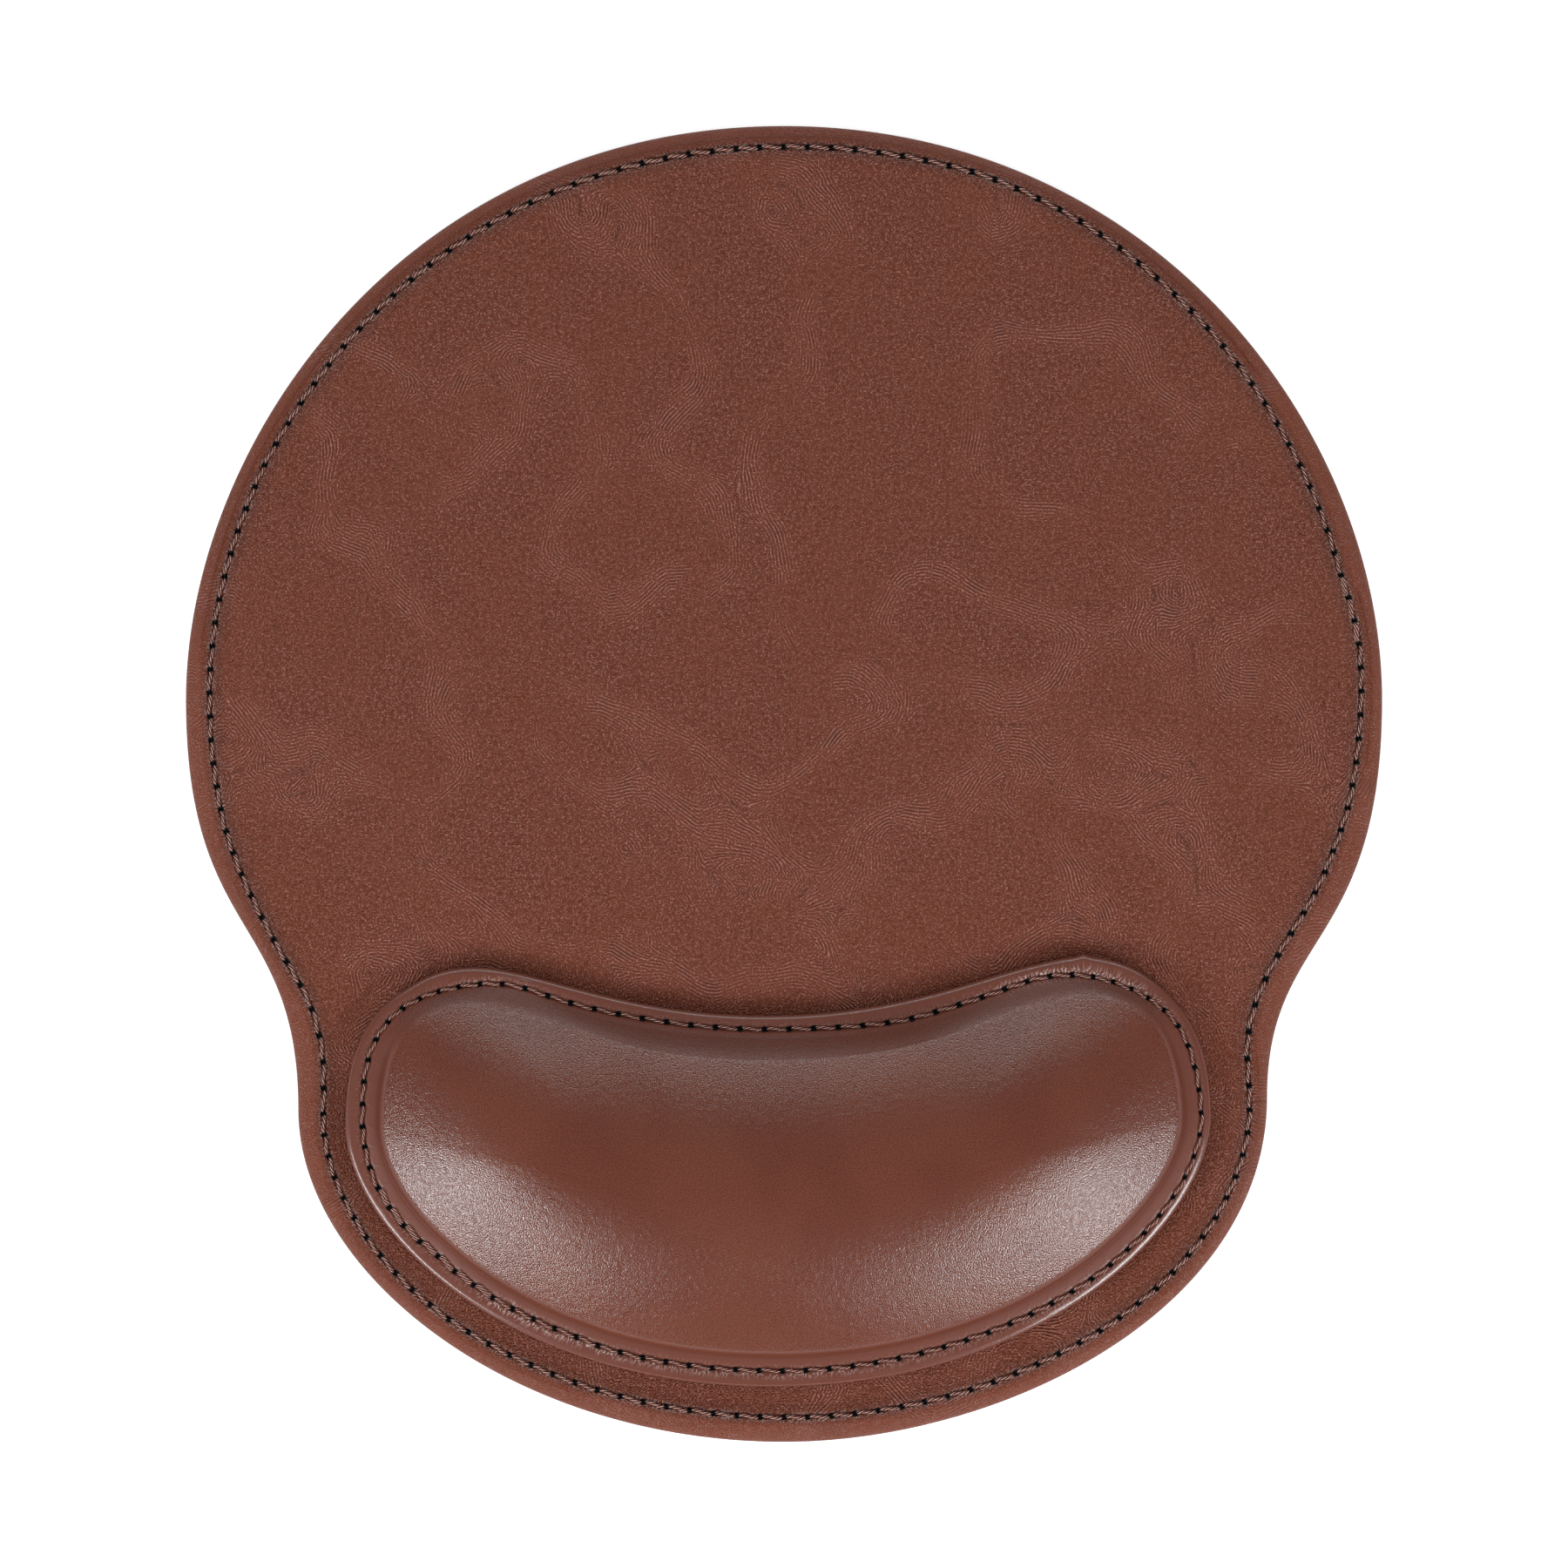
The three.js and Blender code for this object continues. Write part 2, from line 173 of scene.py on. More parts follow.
def run_inset(run, loop, shares):
    """Inset of a seam at shares of a loop: the measured places joined, then evened out.

    The evening is a periodic convolution with a Gaussian.
    """
    length = loop_length(loop)
    fine = np.arange(4096) / 4096
    values = np.interp(fine * length, run[:, 0], run[:, 1], period=length)
    away = np.minimum(fine, 1 - fine) * length
    kernel = bell(away, SEAM_EVENING)
    even = np.fft.irfft(np.fft.rfft(values) * np.fft.rfft(kernel / kernel.sum()), 4096)
    return np.interp(np.mod(shares, 1.0), fine, even, period=1.0)


def ring_rows(points, normals, insets, heights):
    """Rows of a surface: row j is the loop moved inwards by insets[j], at heights[j].

    Insets and heights may also be given for each point of each row.
    """
    insets, heights = (values[:, None] if values.ndim == 1 else values
                       for values in (np.asarray(insets, float), np.asarray(heights, float)))
    wide = np.broadcast_to(insets, (len(insets), len(points)))
    flat = points[None] + normals[None] * wide[..., None]
    return np.dstack([flat, np.broadcast_to(heights, flat.shape[:2])])


def slid_rows(row, middle, shares, height):
    """Level rows on the straight ways from a middle point, share 0, to a row, share 1."""
    flat = middle + (row[:, :2] - middle)[None] * np.array(shares)[:, None, None]
    return np.dstack([flat, np.full(flat.shape[:2], height)])


def joined_sides(row, around):
    """Quads that close a flat narrow row by joining its first half to its second half."""
    half = around // 2
    k = np.arange((half - 1) // 2)
    right = np.stack([k, k + 1, half - k - 1, half - k], axis=1)
    left = np.stack([-k - 1, -k, half + k, half + k + 1], axis=1)
    return row * around + np.mod(np.vstack([right, left]), around)


def grid_quads(count, around, down, along):
    """Quads of a grid of points, down by along of them; past the last point comes the first."""
    j, i = np.meshgrid(np.arange(down), np.arange(along), indexing="ij")
    nj, ni = (j + 1) % count, (i + 1) % around
    corners = [j * around + i, j * around + ni, nj * around + ni, nj * around + i]
    return np.stack(corners, axis=-1).reshape(-1, 4)


def closed_piece(name, rows, slot_name, material, uv=None, ends=("fan", "fan"), marks=None):
    """Mesh of a grid whose rows close on themselves; each end row is fanned or joined.

    marks are named values between 0 and 1 for the points of a row, kept as point attributes.
    """
    count, around = rows.shape[:2]
    vertices = rows.reshape(-1, 3)
    quads = grid_quads(count, around, count - 1, around)
    i = np.arange(around)
    fans = [np.zeros((0, 3), int)]
    for kind, row, turn in ((ends[0], 0, 1), (ends[1], count - 1, -1)):
        if kind == "join":
            quads = np.vstack([quads, joined_sides(row, around)[:, ::-turn]])
        else:
            edge = np.stack([row * around + (i + 1) % around, row * around + i], axis=1)
            fans.append(np.column_stack([edge[:, ::turn], np.full(around, len(vertices))]))
            vertices = np.vstack([vertices, rows[row].mean(axis=0)[None]])
    triangles = np.vstack(fans)
    if signed_volume(vertices, quads, triangles) < 0:
        quads, triangles = quads[:, ::-1], triangles[:, ::-1]
    seam = None if uv is None else seam_uv(uv, quads, triangles, count, around)
    piece = smooth_piece(name, vertices, quads, triangles, seam, slot_name, material)
    for mark, values in (marks or {}).items():
        kept = np.zeros(len(vertices))
        kept[: count * around] = np.tile(values, count)
        piece.data.attributes.new(mark, "FLOAT", "POINT").data.foreach_set("value", kept)
    return piece


def smooth_piece(name, vertices, quads, others, seam, slot_name, material):
    """Smooth mesh object from quads and other faces, which all have one number of corners."""
    mesh = bpy.data.meshes.new(name)
    mesh.vertices.add(len(vertices))
    mesh.vertices.foreach_set("co", vertices.ravel())
    mesh.loops.add(quads.size + others.size)
    mesh.loops.foreach_set("vertex_index", np.append(quads, others).astype(np.int32))
    starts = np.append(np.arange(len(quads)) * 4, quads.size + np.arange(len(others)) * others.shape[1])
    mesh.polygons.add(len(starts))
    mesh.polygons.foreach_set("loop_start", starts.astype(np.int32))
    mesh.update(calc_edges=True)
    mesh.polygons.foreach_set("use_smooth", np.ones(len(starts), bool))
    if seam is not None:
        mesh.uv_layers.new(name="seam").data.foreach_set("uv", seam.ravel())
    mesh.validate()
    mesh.materials.append(material)
    piece = bpy.data.objects.new(name, mesh)
    bpy.context.collection.objects.link(piece)
    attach(piece, "root")
    return piece


def signed_volume(vertices, quads, *triangles):
    """Sum over triangles of a . (b x c), which is six times the volume inside."""
    every = np.vstack([quads[:, [0, 1, 2]], quads[:, [0, 2, 3]], *triangles])
    a, b, c = (vertices[every[:, k]] for k in range(3))
    return float(np.einsum("ij,ij->", a, np.cross(b, c)))


def seam_uv(uv, quads, triangles, count, around):
    """Loop UVs from rows of (along, across); a quad that crosses the join runs past the end."""
    along, across, turn = uv
    corners = np.append(quads, triangles)
    hubs = np.zeros(max(0, corners.max() + 1 - count * around))
    flat_along = np.concatenate([np.tile(along, count), hubs])
    flat_across = np.concatenate([across.ravel(), hubs + across[0, 0]])
    pairs = np.stack([flat_along[corners], flat_across[corners]], axis=1)
    face = pairs[: quads.size].reshape(-1, 4, 2)
    low = face[:, :, 0] < turn * 0.25
    crossing = (face[:, :, 0].max(axis=1) > turn * 0.75)[:, None] & low
    face[:, :, 0] += crossing * turn
    return pairs


class Value:
    """A node's output to reckon with: each sum, product or function of it makes a math node."""

    def __init__(self, socket):
        self.socket = socket
        self.tree = socket.id_data

    def math(self, operation, *values):
        return add(self.tree, "Math", {"operation": operation}, *values)

    def vector(self, operation, *values, **sockets):
        return add(self.tree, "VectorMath", {"operation": operation}, self, *values, **sockets)

    def __add__(self, other):
        return self.math("ADD", self, other)

    def __sub__(self, other):
        return self.math("SUBTRACT", self, other)

    def __rsub__(self, other):
        return self.math("SUBTRACT", other, self)

    def __mul__(self, other):
        return self.math("MULTIPLY", self, other)

    def __truediv__(self, other):
        return self.math("DIVIDE", self, other)

    def __rtruediv__(self, other):
        return self.math("DIVIDE", other, self)

    def __pow__(self, other):
        return self.math("POWER", self, other)

    def __abs__(self):
        return self.math("ABSOLUTE", self)

    def __round__(self):
        return self.math("ROUND", self)


def feed(node, *values, **sockets):
    """Fills a node's inputs, in order and by name, with links or with plain values."""
    named = {int(name[1:]) if name[1:].isdigit() else name.replace("_", " "): value
             for name, value in sockets.items()}
    for key, value in {**dict(enumerate(values)), **named}.items():
        if isinstance(value, Value):
            node.id_data.links.new(value.socket, node.inputs[key])
        else:
            node.inputs[key].default_value = value


def add(tree, kind, settings=None, *values, out=0, **sockets):
    """One output of a new shader node with these settings and inputs."""
    made = tree.nodes.new("ShaderNode" + kind)
    for name, value in (settings or {}).items():
        setattr(made, name, value)
    feed(made, *values, **sockets)
    return Value(made.outputs[out])


def ramp(value, low, high, first, last, kind="LINEAR"):
    """Goes from first, at low and before it, to last, at high and past it."""
    settings = {"interpolation_type": kind}
    return add(value.tree, "MapRange", settings, value, low, high, first, last)


def step_up(value, low, high):
    """Smooth step from 0 at low to 1 at high."""
    return ramp(value, low, high, 0.0, 1.0, "SMOOTHSTEP")


def blend(share, first, second):
    """Colour between first and second by share."""
    return add(share.tree, "Mix", {"data_type": "RGBA"}, share, i6=first, i7=second, out=2)


def noise(place, scale, detail, roughness=0.5, dimensions="2D", out="Fac"):
    """Cloudy noise about 0.5; the scale counts its clouds in a millimetre."""
    return add(place.tree, "TexNoise", {"noise_dimensions": dimensions}, out=out,
               Vector=place, Scale=scale, Detail=detail, Roughness=roughness)


def bumped(height, distance, strength=1.0):
    """Normal tilted by a height, whose 1 stands for the distance."""
    return add(height.tree, "Bump", Height=height, Distance=distance, Strength=strength)


def millimetres(tree):
    """Object coordinates counted in millimetres."""
    return add(tree, "TexCoord", out="Object").vector("SCALE", Scale=1 / MM)


def new_material(name):
    """A new material and its node tree, with a Principled shader in it."""
    material = bpy.data.materials.new(name)
    material.use_nodes = True
    return material, material.node_tree


def finished(material, **sockets):
    """The material, with these values in its Principled shader."""
    feed(material.node_tree.nodes["Principled BSDF"], **sockets)
    return material


def rubber_material():
    """Dark rubber: small round dimples in a staggered net, darker inside, pale dust in cloudy specks,
    worn smoother between.
    """
    material, tree = new_material("non_slip_rubber")
    place = millimetres(tree)
    dots = add(tree, "TexVoronoi", {"voronoi_dimensions": "3D"}, Vector=place, Scale=0.75,
               Randomness=0.15)
    dimple = step_up(dots, 0.45, 0.18)
    speck = noise(place, 3.0, 3.0, dimensions="3D")
    dust = step_up(noise(place, 0.05, 4.0, dimensions="3D"), 0.4, 0.7) * step_up(speck, 0.5, 0.7)
    shade = blend(dimple, BASE_COLOUR, BASE_PORE_COLOUR)
    shade = blend(dust * 0.25, shade, BASE_DUST_COLOUR)
    return finished(material, Base_Color=shade, Roughness=ramp(speck, 0.0, 1.0, 0.62, 0.85),
                    Normal=bumped(speck * 0.25 - dimple, DIMPLE_DEPTH, 0.7))


PAD_LOOP = mirrored_loop(pad_side("right"), pad_side("left"))
PAD_LOOP[:, 1] -= PAD_DEPTH / 2
PRESS_WIDTH = 0.9 * MM
BOBBIN_PRESS = 0.75 * MM

shares = np.arange(PAD_STITCHES * 4) / (PAD_STITCHES * 4)
points, normals = walk(PAD_LOOP, shares)
groove = np.array([1.6, 1, 0.6, 0.3, 0, -0.3, -0.6, -1, -1.4]) * PRESS_WIDTH
pressed = BOBBIN_PRESS * np.exp(-(groove / (0.62 * PRESS_WIDTH)) ** 4)
groove_insets = groove[:, None] + run_inset(PAD_SEAM_RUN, PAD_LOOP, shares)[None]
edge_turn = np.radians([0, 30, 60, 90])
edge_inset = BASE_INSET + BASE_EDGE_ROUND * (1 - np.sin(edge_turn))
edge_height = BASE_EDGE_ROUND * (1 - np.cos(edge_turn))
outer = np.repeat(np.array([*edge_inset, BASE_INSET])[:, None], len(points), axis=1)
base_insets = np.concatenate([groove_insets, outer])
base_heights = np.concatenate([pressed, edge_height, [BASE_THICKNESS]])
base_edge = ring_rows(points, normals, base_insets, base_heights)
base_field = slid_rows(base_edge[0], FIELD_MIDDLE, [0.1, 0.35, 0.6, 0.85], 0.0)
base_rows = np.concatenate([base_field, base_edge])
base_piece = closed_piece("non_slip_base_sheet", base_rows, "base_rubber", rubber_material())
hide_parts("non_slip_base")


# Pad leather. One sheet of brown artificial leather, glued over the core, rolled round the
# rim and turned under. The seam pulls it into a narrow groove and gathers it at each stitch.
PAD_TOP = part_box("pad_leather_cover")[1][2]
HEM_BOTTOM = BASE_THICKNESS
LEATHER = 0.9 * MM
HEM_WIDTH = 13 * MM
RIM_ROUND_TOP = 2.6 * MM
RIM_ROUND_BOTTOM = 1.4 * MM
SEAM_STOP = 1.5 * MM
SEAM_DIP = 0.30 * MM
SEAM_DIP_WIDTH = 0.55 * MM
HOLE_DEPTH = 0.5 * MM
HOLE_LONG = 0.55 * MM
HOLE_WIDE = 0.42 * MM
HOLE_DRIFT = 0.06 * MM
PUCKER = 0.10 * MM
PUCKERS_PER_STITCH = 5
PUCKER_PLACE = 1.35 * MM
PUCKER_WIDTH = 0.75 * MM
PUCKER_SLANT = 1.9 * MM
SWELL = 0.12 * MM
SWELL_PLACE = 2.1 * MM
SWELL_WIDTH = 1.1 * MM
PAD_BROWN = (0.157, 0.032, 0.0125, 1)
PAD_BROWN_WARM = (0.170, 0.036, 0.0135, 1)
PAD_RIDGE = (0.390, 0.160, 0.120, 1)
# Near-black for painted shade: needle holes, thread ends, the groove by the thread, the rest's grain
# hollows and crease, and the pad's contact shadow.
PAINTED_SHADE_BLACK = (0.0035, 0.002, 0.002, 1)
# Pale colour for a painted highlight on the thin tops of small folds beside the seams.
FOLD_HIGHLIGHT = (0.72, 0.57, 0.53, 1)
CONTACT_REACH = 1.6 * MM
PAD_GRAIN_DEPTH = 0.40 * MM

# Places along one stitch, close together round its needle hole, as shares of the pitch.
STITCH_STEPS = np.array([0.0, 0.07, 0.14, 0.26, 0.38, 0.5, 0.62, 0.74, 0.86, 0.93])
# Places across the seam, from the inside outwards, in millimetres from the thread.
SEAM_STEPS = np.array([7.5, 5.2, 3.8, 2.8, 2.1, 1.6, 1.25, 1.0, 0.8, 0.6, 0.42, 0.27, 0.13,
                       0, -0.13, -0.27, -0.42, -0.6, -0.8, -1.0, -1.25, -1.6, -2.0]) * MM


def stitch_places(stitches):
    """Stitch coordinates all round a seam: the whole number counts stitches."""
    return (np.arange(stitches)[:, None] + STITCH_STEPS[None]).ravel()


def jitter(index, seed):
    """A scatter between -1 and 1 for whole numbers: the fraction of a much enlarged sine."""
    return 2 * np.mod(np.sin(index * 12.9898 + seed * 78.233) * 43758.5453, 1.0) - 1


def seam_relief(along, across, pitch, stitches, inner_sign=1.0):
    """Height of leather at a seam: a groove, less a pit at each hole, plus gathers beside it.

    along counts stitches, across is the distance inwards from the thread.
    """
    along, across = along[None], across[:, None]
    nearest = np.round(along)
    drift = jitter(np.mod(nearest, stitches), 1.0) * HOLE_DRIFT
    groove = SEAM_DIP * np.exp(-np.abs(across / SEAM_DIP_WIDTH) ** 2.4)
    hold = 0.72 + 0.28 * np.cos(2 * np.pi * along)
    oval = ((along - nearest) * pitch / HOLE_LONG) ** 2 + ((across - drift) / HOLE_WIDE) ** 2
    pit = np.exp(-(oval**2))
    turns = along * PUCKERS_PER_STITCH + across / PUCKER_SLANT * inner_sign
    gather = PUCKER * bell(np.abs(across) - PUCKER_PLACE, PUCKER_WIDTH)
    gather = gather * (0.5 + 0.5 * np.sin(2 * np.pi * turns)) * (0.6 + 0.4 * np.cos(2 * np.pi * along))
    swell = SWELL * bell(np.abs(across) - SWELL_PLACE, SWELL_WIDTH)
    return swell + gather - groove * hold - HOLE_DEPTH * pit


def parts(vector):
    """The x, y and z of a vector."""
    made = vector.tree.nodes.new("ShaderNodeSeparateXYZ")
    feed(made, vector)
    return [Value(socket) for socket in made.outputs]


def maximum(first, second):
    """The larger of two values."""
    return first.math("MAXIMUM", first, second)


def seam_place(tree):
    """A piece's own coordinates along its seam and across it."""
    return add(tree, "UVMap", {"uv_map": "seam"})


def new_group(name, inputs, outputs):
    """An empty shader group, whose first input is a vector and the others are numbers."""
    group = bpy.data.node_groups.new(name, "ShaderNodeTree")
    for socket in inputs:
        kind = "NodeSocketVector" if socket == inputs[0] else "NodeSocketFloat"
        group.interface.new_socket(socket, in_out="INPUT", socket_type=kind)
    for socket in outputs:
        group.interface.new_socket(socket, in_out="OUTPUT", socket_type="NodeSocketFloat")
    entry = group.nodes.new("NodeGroupInput").outputs
    given = [Value(entry[socket]) for socket in inputs]
    return group, given, group.nodes.new("NodeGroupOutput")


def use_group(tree, group, **sockets):
    """The outputs of a group that is placed in a tree, by their names."""
    made = tree.nodes.new("ShaderNodeGroup")
    made.node_tree = group
    feed(made, **sockets)
    return {socket.name: Value(socket) for socket in made.outputs}


def waves(place, angle, period, reach, directed):
    """Ridges of one period in millimetres; each runs straight for about the reach."""
    return add(place.tree, "TexGabor", {"gabor_type": "2D"}, place, 1.0 / reach, reach / period,
               directed, angle)


def fold_lines(place, east=0.0, north=0.0):
    """Broad noise, taken a little east or north of the place; its level lines lead the folds."""
    return noise(place.vector("ADD", (east, north, 0)), 0.027, 1.4, 0.45)


def grain_group():
    """Leather grain: short ridges everywhere, and curving bundles of growth wrinkles.

    Both run along the level lines of a broad noise. Short wave packets make the grain; in
    bands beside the noise's middle level they give way to longer packets.
    """
    group, (place, period, reach, directed, wrinkle_period), leave = new_group(
        "leather_grain", ["Vector", "Period", "Reach", "Directed", "Wrinkle Period"],
        ["Height", "Ridge", "Patch"])
    here = fold_lines(place)
    slope_east = fold_lines(place, east=1.0) - here
    slope_north = fold_lines(place, north=1.0) - here
    angle = here.math("ARCTAN2", slope_north, slope_east)
    fine = noise(place, 1.35 / period, 1.0) - 0.5
    short = waves(place, angle, period, reach, directed) + fine * 1.7
    long = waves(place, angle, wrinkle_period, 4.6, 0.98) * 1.8 - 0.4 + fine
    spots = noise(place, 0.05, 2.0, 0.55)
    band = step_up(abs(here - 0.5), 0.095, 0.02)
    patch = band * step_up(spots, 0.32, 0.52)
    height = add(group, "Mix", None, patch * 0.88, i2=short, i3=long)
    dashed = maximum(step_up(noise(place, 0.62 / period, 1.0), 0.36, 0.58), patch * 0.65)
    feed(leave, height, step_up(height, 0.52, 0.72) * dashed, patch)
    return group


def needle_group():
    """Marks of a seam from its own coordinates, x counting stitches and y in millimetres inwards.

    Hole is 1 in the oval pit at each whole number, Line is 1 in the shadowed groove by the
    thread, Gather is the height of the fine folds that fan from each stitch, and Fold is 1 on
    the thin tops of those folds.
    """
    group, (seam, pitch), leave = new_group(
        "needle_marks", ["Seam", "Pitch"], ["Hole", "Line", "Gather", "Fold"])
    x, y, _ = parts(seam)
    along = (x - round(x)) * pitch
    side = abs(y)
    wobble = noise(seam, 2.2, 2.0)
    oval = ((along / 0.70) ** 2.0 + (y / 0.62) ** 2.0) ** 0.5
    hole = step_up(oval + (wobble - 0.5) * 0.7, 1.15, 0.85)
    fan = x * 14.0 + side * 0.9 + wobble * 2.4
    folds = noise(add(group, "CombineXYZ", None, fan, side * 0.9), 1.1, 2.0)
    near = step_up(side, 2.3, 0.8) * step_up(side, 0.2, 0.6)
    thin = step_up(folds, 0.52, 0.63) * step_up(side, 2.0, 0.7)
    feed(leave, hole, step_up(side, 0.52, 0.30), folds * near, thin * near)
    return group


GRAIN = grain_group()
NEEDLE_MARKS = needle_group()


def pad_leather_material():
    """Brown leather: pale grain ridges over a dark ground, stronger in patches. Painted shade makes the
    holes black, darkens the groove by the thread a little and lays a contact shadow beside other parts; a
    painted highlight lightens the fold tops by the seam.
    """
    material, tree = new_material("pad_leather")
    place = millimetres(tree)
    grain = use_group(tree, GRAIN, Vector=place, Period=0.46, Reach=0.50, Directed=0.40,
                      Wrinkle_Period=0.64)
    seam = seam_place(tree)
    marks = use_group(tree, NEEDLE_MARKS, Seam=seam, Pitch=4.6)
    inward = parts(seam)[1]
    beside = abs(inward)
    rim = step_up(inward, -0.2, -2.0)
    near = maximum(rim, step_up(beside, 3.4, 1.2))
    cloud = noise(place, 0.05, 3.0, 0.6)
    strength = ramp(cloud, 0.35, 0.65, 0.56, 0.80) + grain["Patch"] * 0.18
    pale = maximum(grain["Ridge"] * (strength - rim * 0.7), 0.0)
    # Painted highlight on the thin fold tops just inside the seam.
    painted_fold_highlight = marks["Fold"] * step_up(beside, 1.5, 0.5)
    # Painted contact shadow: darker towards black where ambient occlusion finds another part within
    # reach, away from the seam.
    reached = add(tree, "AmbientOcclusion", {"samples": 4}, Distance=CONTACT_REACH, out="AO")
    contact_shade = (1.0 - reached) * 0.9 * step_up(beside, 1.0, 2.2)
    shade = blend(step_up(cloud, 0.3, 0.7), PAD_BROWN_WARM, PAD_BROWN)
    shade = blend(pale, shade, PAD_RIDGE)
    shade = blend(painted_fold_highlight * 0.35, shade, FOLD_HIGHLIGHT)
    # Painted shade: a little in the groove by the thread, black in the needle holes, and the contact
    # shadow.
    for dark in (marks["Line"] * 0.1, marks["Hole"], contact_shade):
        shade = blend(dark, shade, PAINTED_SHADE_BLACK)
    height = grain["Height"] * (grain["Patch"] * 0.3 + 1.05)
    height = height * (near * 0.5 + 1.0) * (1.0 - rim * 0.72)
    return finished(material, Base_Color=shade, Roughness=0.38 - near * 0.06 + marks["Hole"] * 0.4,
                    Specular_IOR_Level=near * 0.22 + (0.36 - rim * 0.14),
                    Normal=bumped(height + marks["Gather"] * 1.8, PAD_GRAIN_DEPTH))


def rim_arc(start, turn, upper, lower, round_top, round_bottom):
    """Egg-shaped edge: from the inset where it starts, turn 0, round to the hem, turn 1."""
    middle = lower + (upper - lower) * 0.45
    first = np.arccos(np.clip(1 - start / round_top, 0, 1))
    angle = first + (-np.pi / 2 - first) * turn
    insets = np.where(angle > 0, round_top, round_bottom) * (1 - np.cos(angle))
    return insets, middle + np.where(angle > 0, upper - middle, middle - lower) * np.sin(angle)


def rim_drop(insets):
    """How far the rounded rim lies under the flat top: a quarter ellipse."""
    part = np.clip(1 - insets / RIM_ROUND_TOP, 0, 1)
    return (PAD_TOP - HEM_BOTTOM) * 0.55 * (1 - np.sqrt(1 - part * part))


def turned_hem(points, normals, width, leather, bottom, top):
    """Rows of a cover inside its edge: in under the hem, back over it, and up to the top."""
    heights = [bottom, bottom + leather, bottom + leather, top - leather]
    return ring_rows(points, normals, [width, width, leather, leather], heights)


def run_rows(steps, seam, stop):
    """Insets of rows at steps from a seam; those outside it are squeezed to end at the stop."""
    squeeze = np.clip((seam - stop) / -steps.min(), 0.2, 1)
    return seam + steps[:, None] * np.where(steps[:, None] < 0, squeeze, 1.0)


along = stitch_places(PAD_STITCHES)
shares = along / PAD_STITCHES
points, normals = walk(PAD_LOOP, shares)
pad_pitch = loop_length(PAD_LOOP) / PAD_STITCHES
pad_seam = run_inset(PAD_SEAM_RUN, PAD_LOOP, shares)[None]
relief = seam_relief(along, SEAM_STEPS, pad_pitch, PAD_STITCHES)
seam_insets = run_rows(SEAM_STEPS, pad_seam, SEAM_STOP)
seam_rows = ring_rows(points, normals, seam_insets, PAD_TOP - rim_drop(seam_insets) + relief)
rim_turn = np.linspace(0, 1, 12)[:, None]
rim_insets, rim_heights = rim_arc(seam_insets[-1:], rim_turn, PAD_TOP, HEM_BOTTOM,
                                  RIM_ROUND_TOP, RIM_ROUND_BOTTOM)
rim_heights = rim_heights + relief[-1:] * np.array([0.9, 0.45, 0.15] + [0.0] * 9)[:, None]
rim_rows = ring_rows(points, normals, rim_insets, rim_heights)
hem_rows = turned_hem(points, normals, HEM_WIDTH, LEATHER, HEM_BOTTOM, PAD_TOP)
field_shares = [0.06, 0.16, 0.28, 0.42, 0.56, 0.70, 0.82, 0.91, 0.97]
field_rows = slid_rows(seam_rows[0], FIELD_MIDDLE, field_shares, PAD_TOP)
pad_rows = np.concatenate([field_rows, seam_rows, rim_rows, hem_rows])
pad_across = np.vstack([
    np.repeat(np.linspace(90, 10, len(field_rows))[:, None], len(points), axis=1),
    (seam_insets - pad_seam) / MM,
    (rim_insets - pad_seam) / MM,
    np.full((len(hem_rows), len(points)), -20.0),
])
pad_cover = closed_piece("pad_leather", pad_rows, "pad_leather", pad_leather_material(),
                         uv=(along, pad_across, PAD_STITCHES))
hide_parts("pad_leather_cover")


# Needle threads. Three-ply bonded thread laid over the leather from hole to hole and drawn
# down into each hole. The one round the pad is slightly thicker than the one round the rest.
PAD_THREAD_RADIUS = 0.31 * MM
REST_THREAD_RADIUS = 0.26 * MM
LOCK_THREAD_RADIUS = 0.27 * MM
LOCK_ASIDE = 0.42 * MM
THREAD_ARCH = 0.24 * MM
THREAD_DIP = 1.0 * MM
# How far from a hole the thread still dips, as a share of a stitch.
DIP_SHARE = 0.42 / 4.5
STITCH_SLANT = 0.19 * MM
STITCH_BEND = 0.05 * MM
PLIES = 3
PLY_DEPTH = 0.2
TWISTS_PER_STITCH = 1.45
# The thread's own brown, then a painted highlight for the ply crowns and painted shade for the valleys
# between plies.
THREAD_BROWN = (0.170, 0.060, 0.043, 1)
THREAD_HIGHLIGHT = (0.80, 0.45, 0.37, 1)
THREAD_VALLEY_SHADE = (0.020, 0.008, 0.006, 1)
FIBRE_DEPTH = 0.05 * MM
PAD_LOCK_STITCHES = (46, 49)
REST_LOCK_STITCHES = (71, 78)


def thread_material():
    """Twisted thread from its own coordinates: pale ply crowns as a painted highlight, dark valleys as
    painted shade, fine fibres, and painted shade turning it black at each hole.
    """
    material, tree = new_material("sewing_thread")
    along, turn, _ = parts(seam_place(tree))
    ply = turn.math("COSINE", turn) * 0.5 + 0.5
    fibre = noise(add(tree, "CombineXYZ", None, along * 6.0, turn * 1.8), 2.0, 3.0)
    shade = blend(step_up(ply, 0.20, 0.50), THREAD_VALLEY_SHADE, THREAD_BROWN)
    shade = blend(step_up(ply, 0.64, 0.94) * step_up(fibre, 0.34, 0.60), shade, THREAD_HIGHLIGHT)
    # Painted shade: the thread turns black where it dips into each hole.
    shade = blend(step_up(abs(along - round(along)), 0.165, 0.115), shade, PAINTED_SHADE_BLACK)
    return finished(material, Base_Color=shade, Roughness=ramp(fibre, 0.0, 1.0, 0.45, 0.65),
                    Specular_IOR_Level=0.3, Normal=bumped(fibre, FIBRE_DEPTH, 0.5))


